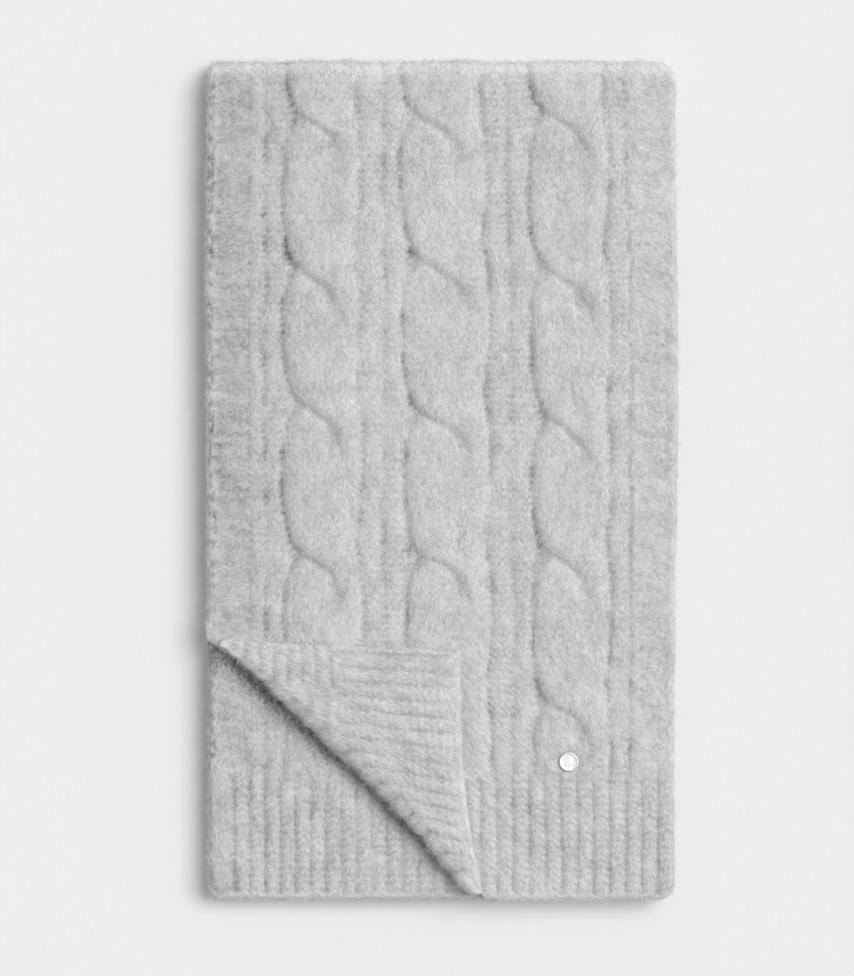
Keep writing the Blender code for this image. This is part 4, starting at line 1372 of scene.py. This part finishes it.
SHELLS = {}  # each knitted stretch's shell, for its fibres


def material_once(name, make):
    """The material of that name, made the first time it is asked for."""
    return bpy.data.materials.get(name) or make(name, bpy.context.scene.scarf_colors)


def knit(key, shell, name, nodes):
    SHELLS[key] = shell
    obj = shell.mesh(name, material_once("brushed_knit", knit_material))
    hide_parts(*nodes)
    return {"FINISHED"}


class SCARF_OT_front(Operator):
    """Knits the front, from its ribbed hem over the top fold"""

    bl_idname = "scarf.front"
    bl_label = "Front"

    def execute(self, context):
        shell = front_shell(in_millimetres(context.scene.scarf_sizes))
        width, length = flat = (WIDTH * MM, wrap_end(FRONT_FLOOR) * MM)
        area = width * length - 0.5 * (CUT_TOP * MM) ** 2
        nodes = ("front_stretch", "front_hem")
        return knit("front", shell, "front_knit", nodes)


class SCARF_OT_turned_corner(Operator):
    """Folds back the front's corner, wrong side up"""

    bl_idname = "scarf.turned_corner"
    bl_label = "Turned-back corner"

    def execute(self, context):
        shell = corner_shell(in_millimetres(context.scene.scarf_sizes))
        nodes = ("turned_corner",)
        return knit("corner", shell, "turned_corner_knit", nodes)


class SCARF_OT_second(Operator):
    """Knits the second layer, from its ribbed hem round the inner fold"""

    bl_idname = "scarf.second"
    bl_label = "Second layer"

    def execute(self, context):
        shell = second_shell(in_millimetres(context.scene.scarf_sizes))
        flat = (WIDTH * MM, wrap_end(SECOND_FLOOR) * MM)
        nodes = ("second_stretch", "second_hem")
        return knit("second", shell, "second_knit", nodes)


class SCARF_OT_folded_layers(Operator):
    """Rounds the two hidden layers below"""

    bl_idname = "scarf.folded_layers"
    bl_label = "Folded layers"

    def execute(self, context):
        nodes = ("folded_layers",)
        return knit("layers", layers_shell(), "folded_layers_knit", nodes)


class SCARF_OT_stud(Operator):
    """Turns the round metal stud"""

    bl_idname = "scarf.stud"
    bl_label = "Stud"

    def execute(self, context):
        low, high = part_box("stud")
        centre = ((low.x + high.x) / 2 / MM, (low.y + high.y) / 2 / MM)
        radius = (high.x - low.x) / 2 / MM
        profile = [(radius - ring.inset, low.z / MM + ring.height) for ring in STUD_PROFILE]
        material = material_once("polished_metal", metal_material)
        obj = lathe("stud_disc", profile, 64, centre, material)
        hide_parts("stud")
        return {"FINISHED"}


def weights_of(key, shell):
    """Where fibres stand: all over what shows, few on what lies on the floor or is covered."""
    up = shell.normals[..., 2]
    if key == "layers":
        return np.where(np.abs(up) > 0.8, 0.0, 1.0)
    x, y = shell.points[..., 0] + WIDTH / 2, shell.points[..., 1] + LENGTH / 2
    weights = np.where(up > -0.35, 1.0, 0.0) * (1.0 - 0.4 * np.clip(shell.painted_shade, 0.0, 1.0))
    if key == "corner":
        weights[:, shell.shown :] = 0.0
    elif key == "second":
        covered = (x > cut_at(y) + 2.0) | (y > CUT_TOP)
        weights[covered & (up > 0.5)] = 0.0
    else:
        weights[np.abs(shell.points[..., 2]) < 1.0] = 0.0
        weights[y > LENGTH - 4.0] *= 2.0
    return weights


# A stretch's coat: its fibres, the pieces they are split into, how they lie and the random seed,
# and the fibres that stand out along its edges, as a share of their count
Brushing = namedtuple("Brushing", "key count parts heading seed")
Halo = namedtuple("Halo", "key share seed")
HALOS = (Halo("front", 1.1, 700), Halo("second", 0.4, 701), Halo("corner", 0.2, 702))


class SCARF_OT_fibres(Operator):
    """Brushes up the wool's fibres on every stretch that shows"""

    bl_idname = "scarf.fibres"
    bl_label = "Brushed fibres"

    def execute(self, context):
        sizes = in_millimetres(context.scene.scarf_coat)
        material = material_once("brushed_fibres", fibre_material)
        standing = Coat(sizes.length, sizes.width * 0.8, 1.0, 0.45, 2.6, 1.2)
        for halo in HALOS:
            shell = SHELLS[halo.key]
            edges = np.clip(1.0 - np.abs(shell.normals[..., 2]) ** 2, 0.0, 1.0)
            edges = np.where(shell.points[..., 2] > 1.0, edges, 0.0) * weights_of(halo.key, shell)
            edges = np.where(edges > 0.35, edges, 0.0)
            count = int(sizes.halo * halo.share)
            name = f"{halo.key}_halo_fibres_1"
            brush(name, shell, edges, 0.0, count, standing, material, halo.seed)
        lying = Coat(sizes.length, sizes.width, 0.55, 0.12, 1.9, 0.7)
        brushings = (
            Brushing("front", sizes.front, 3, lie_of, 900),
            Brushing("corner", sizes.corner, 1, math.pi / 2, 910),
            Brushing("second", sizes.second, 1, 0.0, 920),
            Brushing("layers", sizes.sides, 1, 0.0, 930),
        )
        for key, count, parts, heading, seed in brushings:
            shell = SHELLS[key]
            weights = weights_of(key, shell)
            for part in range(parts):
                name = f"{key}_fibres_{part + 1}"
                brush(
                    name, shell, weights, heading, count // parts, lying, material, seed + part
                )
        return {"FINISHED"}


class SCARF_OT_stage(Operator):
    """Sets the floor, the lights and the camera"""

    bl_idname = "scarf.stage"
    bl_label = "Stage"

    def execute(self, context):
        scene = context.scene
        mesh = bpy.data.meshes.new("floor")
        corners = np.array([(-1, -1, 0), (1, -1, 0), (1, 1, 0), (-1, 1, 0)]) * FLOOR_REACH
        mesh.from_pydata(corners, [], [(0, 1, 2, 3)])
        mesh.materials.append(material_once("floor", floor_material))
        floor = bpy.data.objects.new("floor", mesh)
        scene.collection.objects.link(floor)

        sun = bpy.data.lights.new("key", "SUN")
        sun.energy = scene.scarf_stage.sun
        sun.angle = math.radians(SUN_ANGLE)
        lamp = bpy.data.objects.new("key", sun)
        lamp.rotation_euler = (math.radians(SUN_TILT[0]), math.radians(SUN_TILT[1]), 0.0)
        scene.collection.objects.link(lamp)

        world = bpy.data.worlds.new("studio")
        world.use_nodes = True
        sky = world.node_tree.nodes["Background"]
        sky.inputs["Color"].default_value = (1.0, 1.0, 1.0, 1.0)
        sky.inputs["Strength"].default_value = scene.scarf_stage.sky
        scene.world = world

        lens = bpy.data.cameras.new("camera")
        lens.lens = LENS
        lens.clip_start = 0.01
        lens.clip_end = 50.0
        camera = bpy.data.objects.new("camera", lens)
        distance = PIXEL * IMAGE_HEIGHT * lens.lens / lens.sensor_width
        camera.location = (
            (IMAGE_WIDTH / 2 - CENTRE_PIXEL[0]) * PIXEL * MM,
            (CENTRE_PIXEL[1] - IMAGE_HEIGHT / 2) * PIXEL * MM,
            (distance + FRONT_FLOOR) * MM,
        )
        scene.collection.objects.link(camera)
        scene.camera = camera
        scene.view_settings.view_transform = "Standard"
        return {"FINISHED"}


class SCARF_PT_panel(Panel):
    """Lists the scarf's sizes and colours, and the operators that make it"""

    bl_idname = "SCARF_PT_panel"
    bl_label = "Folded Knit Scarf"
    bl_space_type = "VIEW_3D"
    bl_region_type = "UI"
    bl_category = "Scarf"

    def draw(self, context):
        for name in GROUPS:
            group = getattr(context.scene, name)
            box = self.layout.box()
            for value in group.__annotations__:
                box.prop(group, value)
        for operator in OPERATORS:
            self.layout.operator(operator.bl_idname)


OPERATORS = (
    SCARF_OT_stage,
    SCARF_OT_front,
    SCARF_OT_turned_corner,
    SCARF_OT_second,
    SCARF_OT_folded_layers,
    SCARF_OT_stud,
    SCARF_OT_fibres,
)
GROUPS = {
    "scarf_sizes": ScarfSizes,
    "scarf_colors": ScarfColors,
    "scarf_coat": ScarfCoat,
    "scarf_stage": ScarfStage,
}


def register():
    """Registers the classes and hangs the groups of properties on the scene."""
    for cls in (*GROUPS.values(), *OPERATORS, SCARF_PT_panel):
        bpy.utils.register_class(cls)
    for name, group in GROUPS.items():
        setattr(bpy.types.Scene, name, PointerProperty(type=group))


def unregister():
    """Undoes register."""
    for name in GROUPS:
        delattr(bpy.types.Scene, name)
    for cls in reversed((*GROUPS.values(), *OPERATORS, SCARF_PT_panel)):
        bpy.utils.unregister_class(cls)


def main():
    """Registers the add-on and makes every piece."""
    register()
    for operator in OPERATORS:
        group, name = operator.bl_idname.split(".")
        getattr(getattr(bpy.ops, group), name)()


if __name__ == "__main__":
    main()
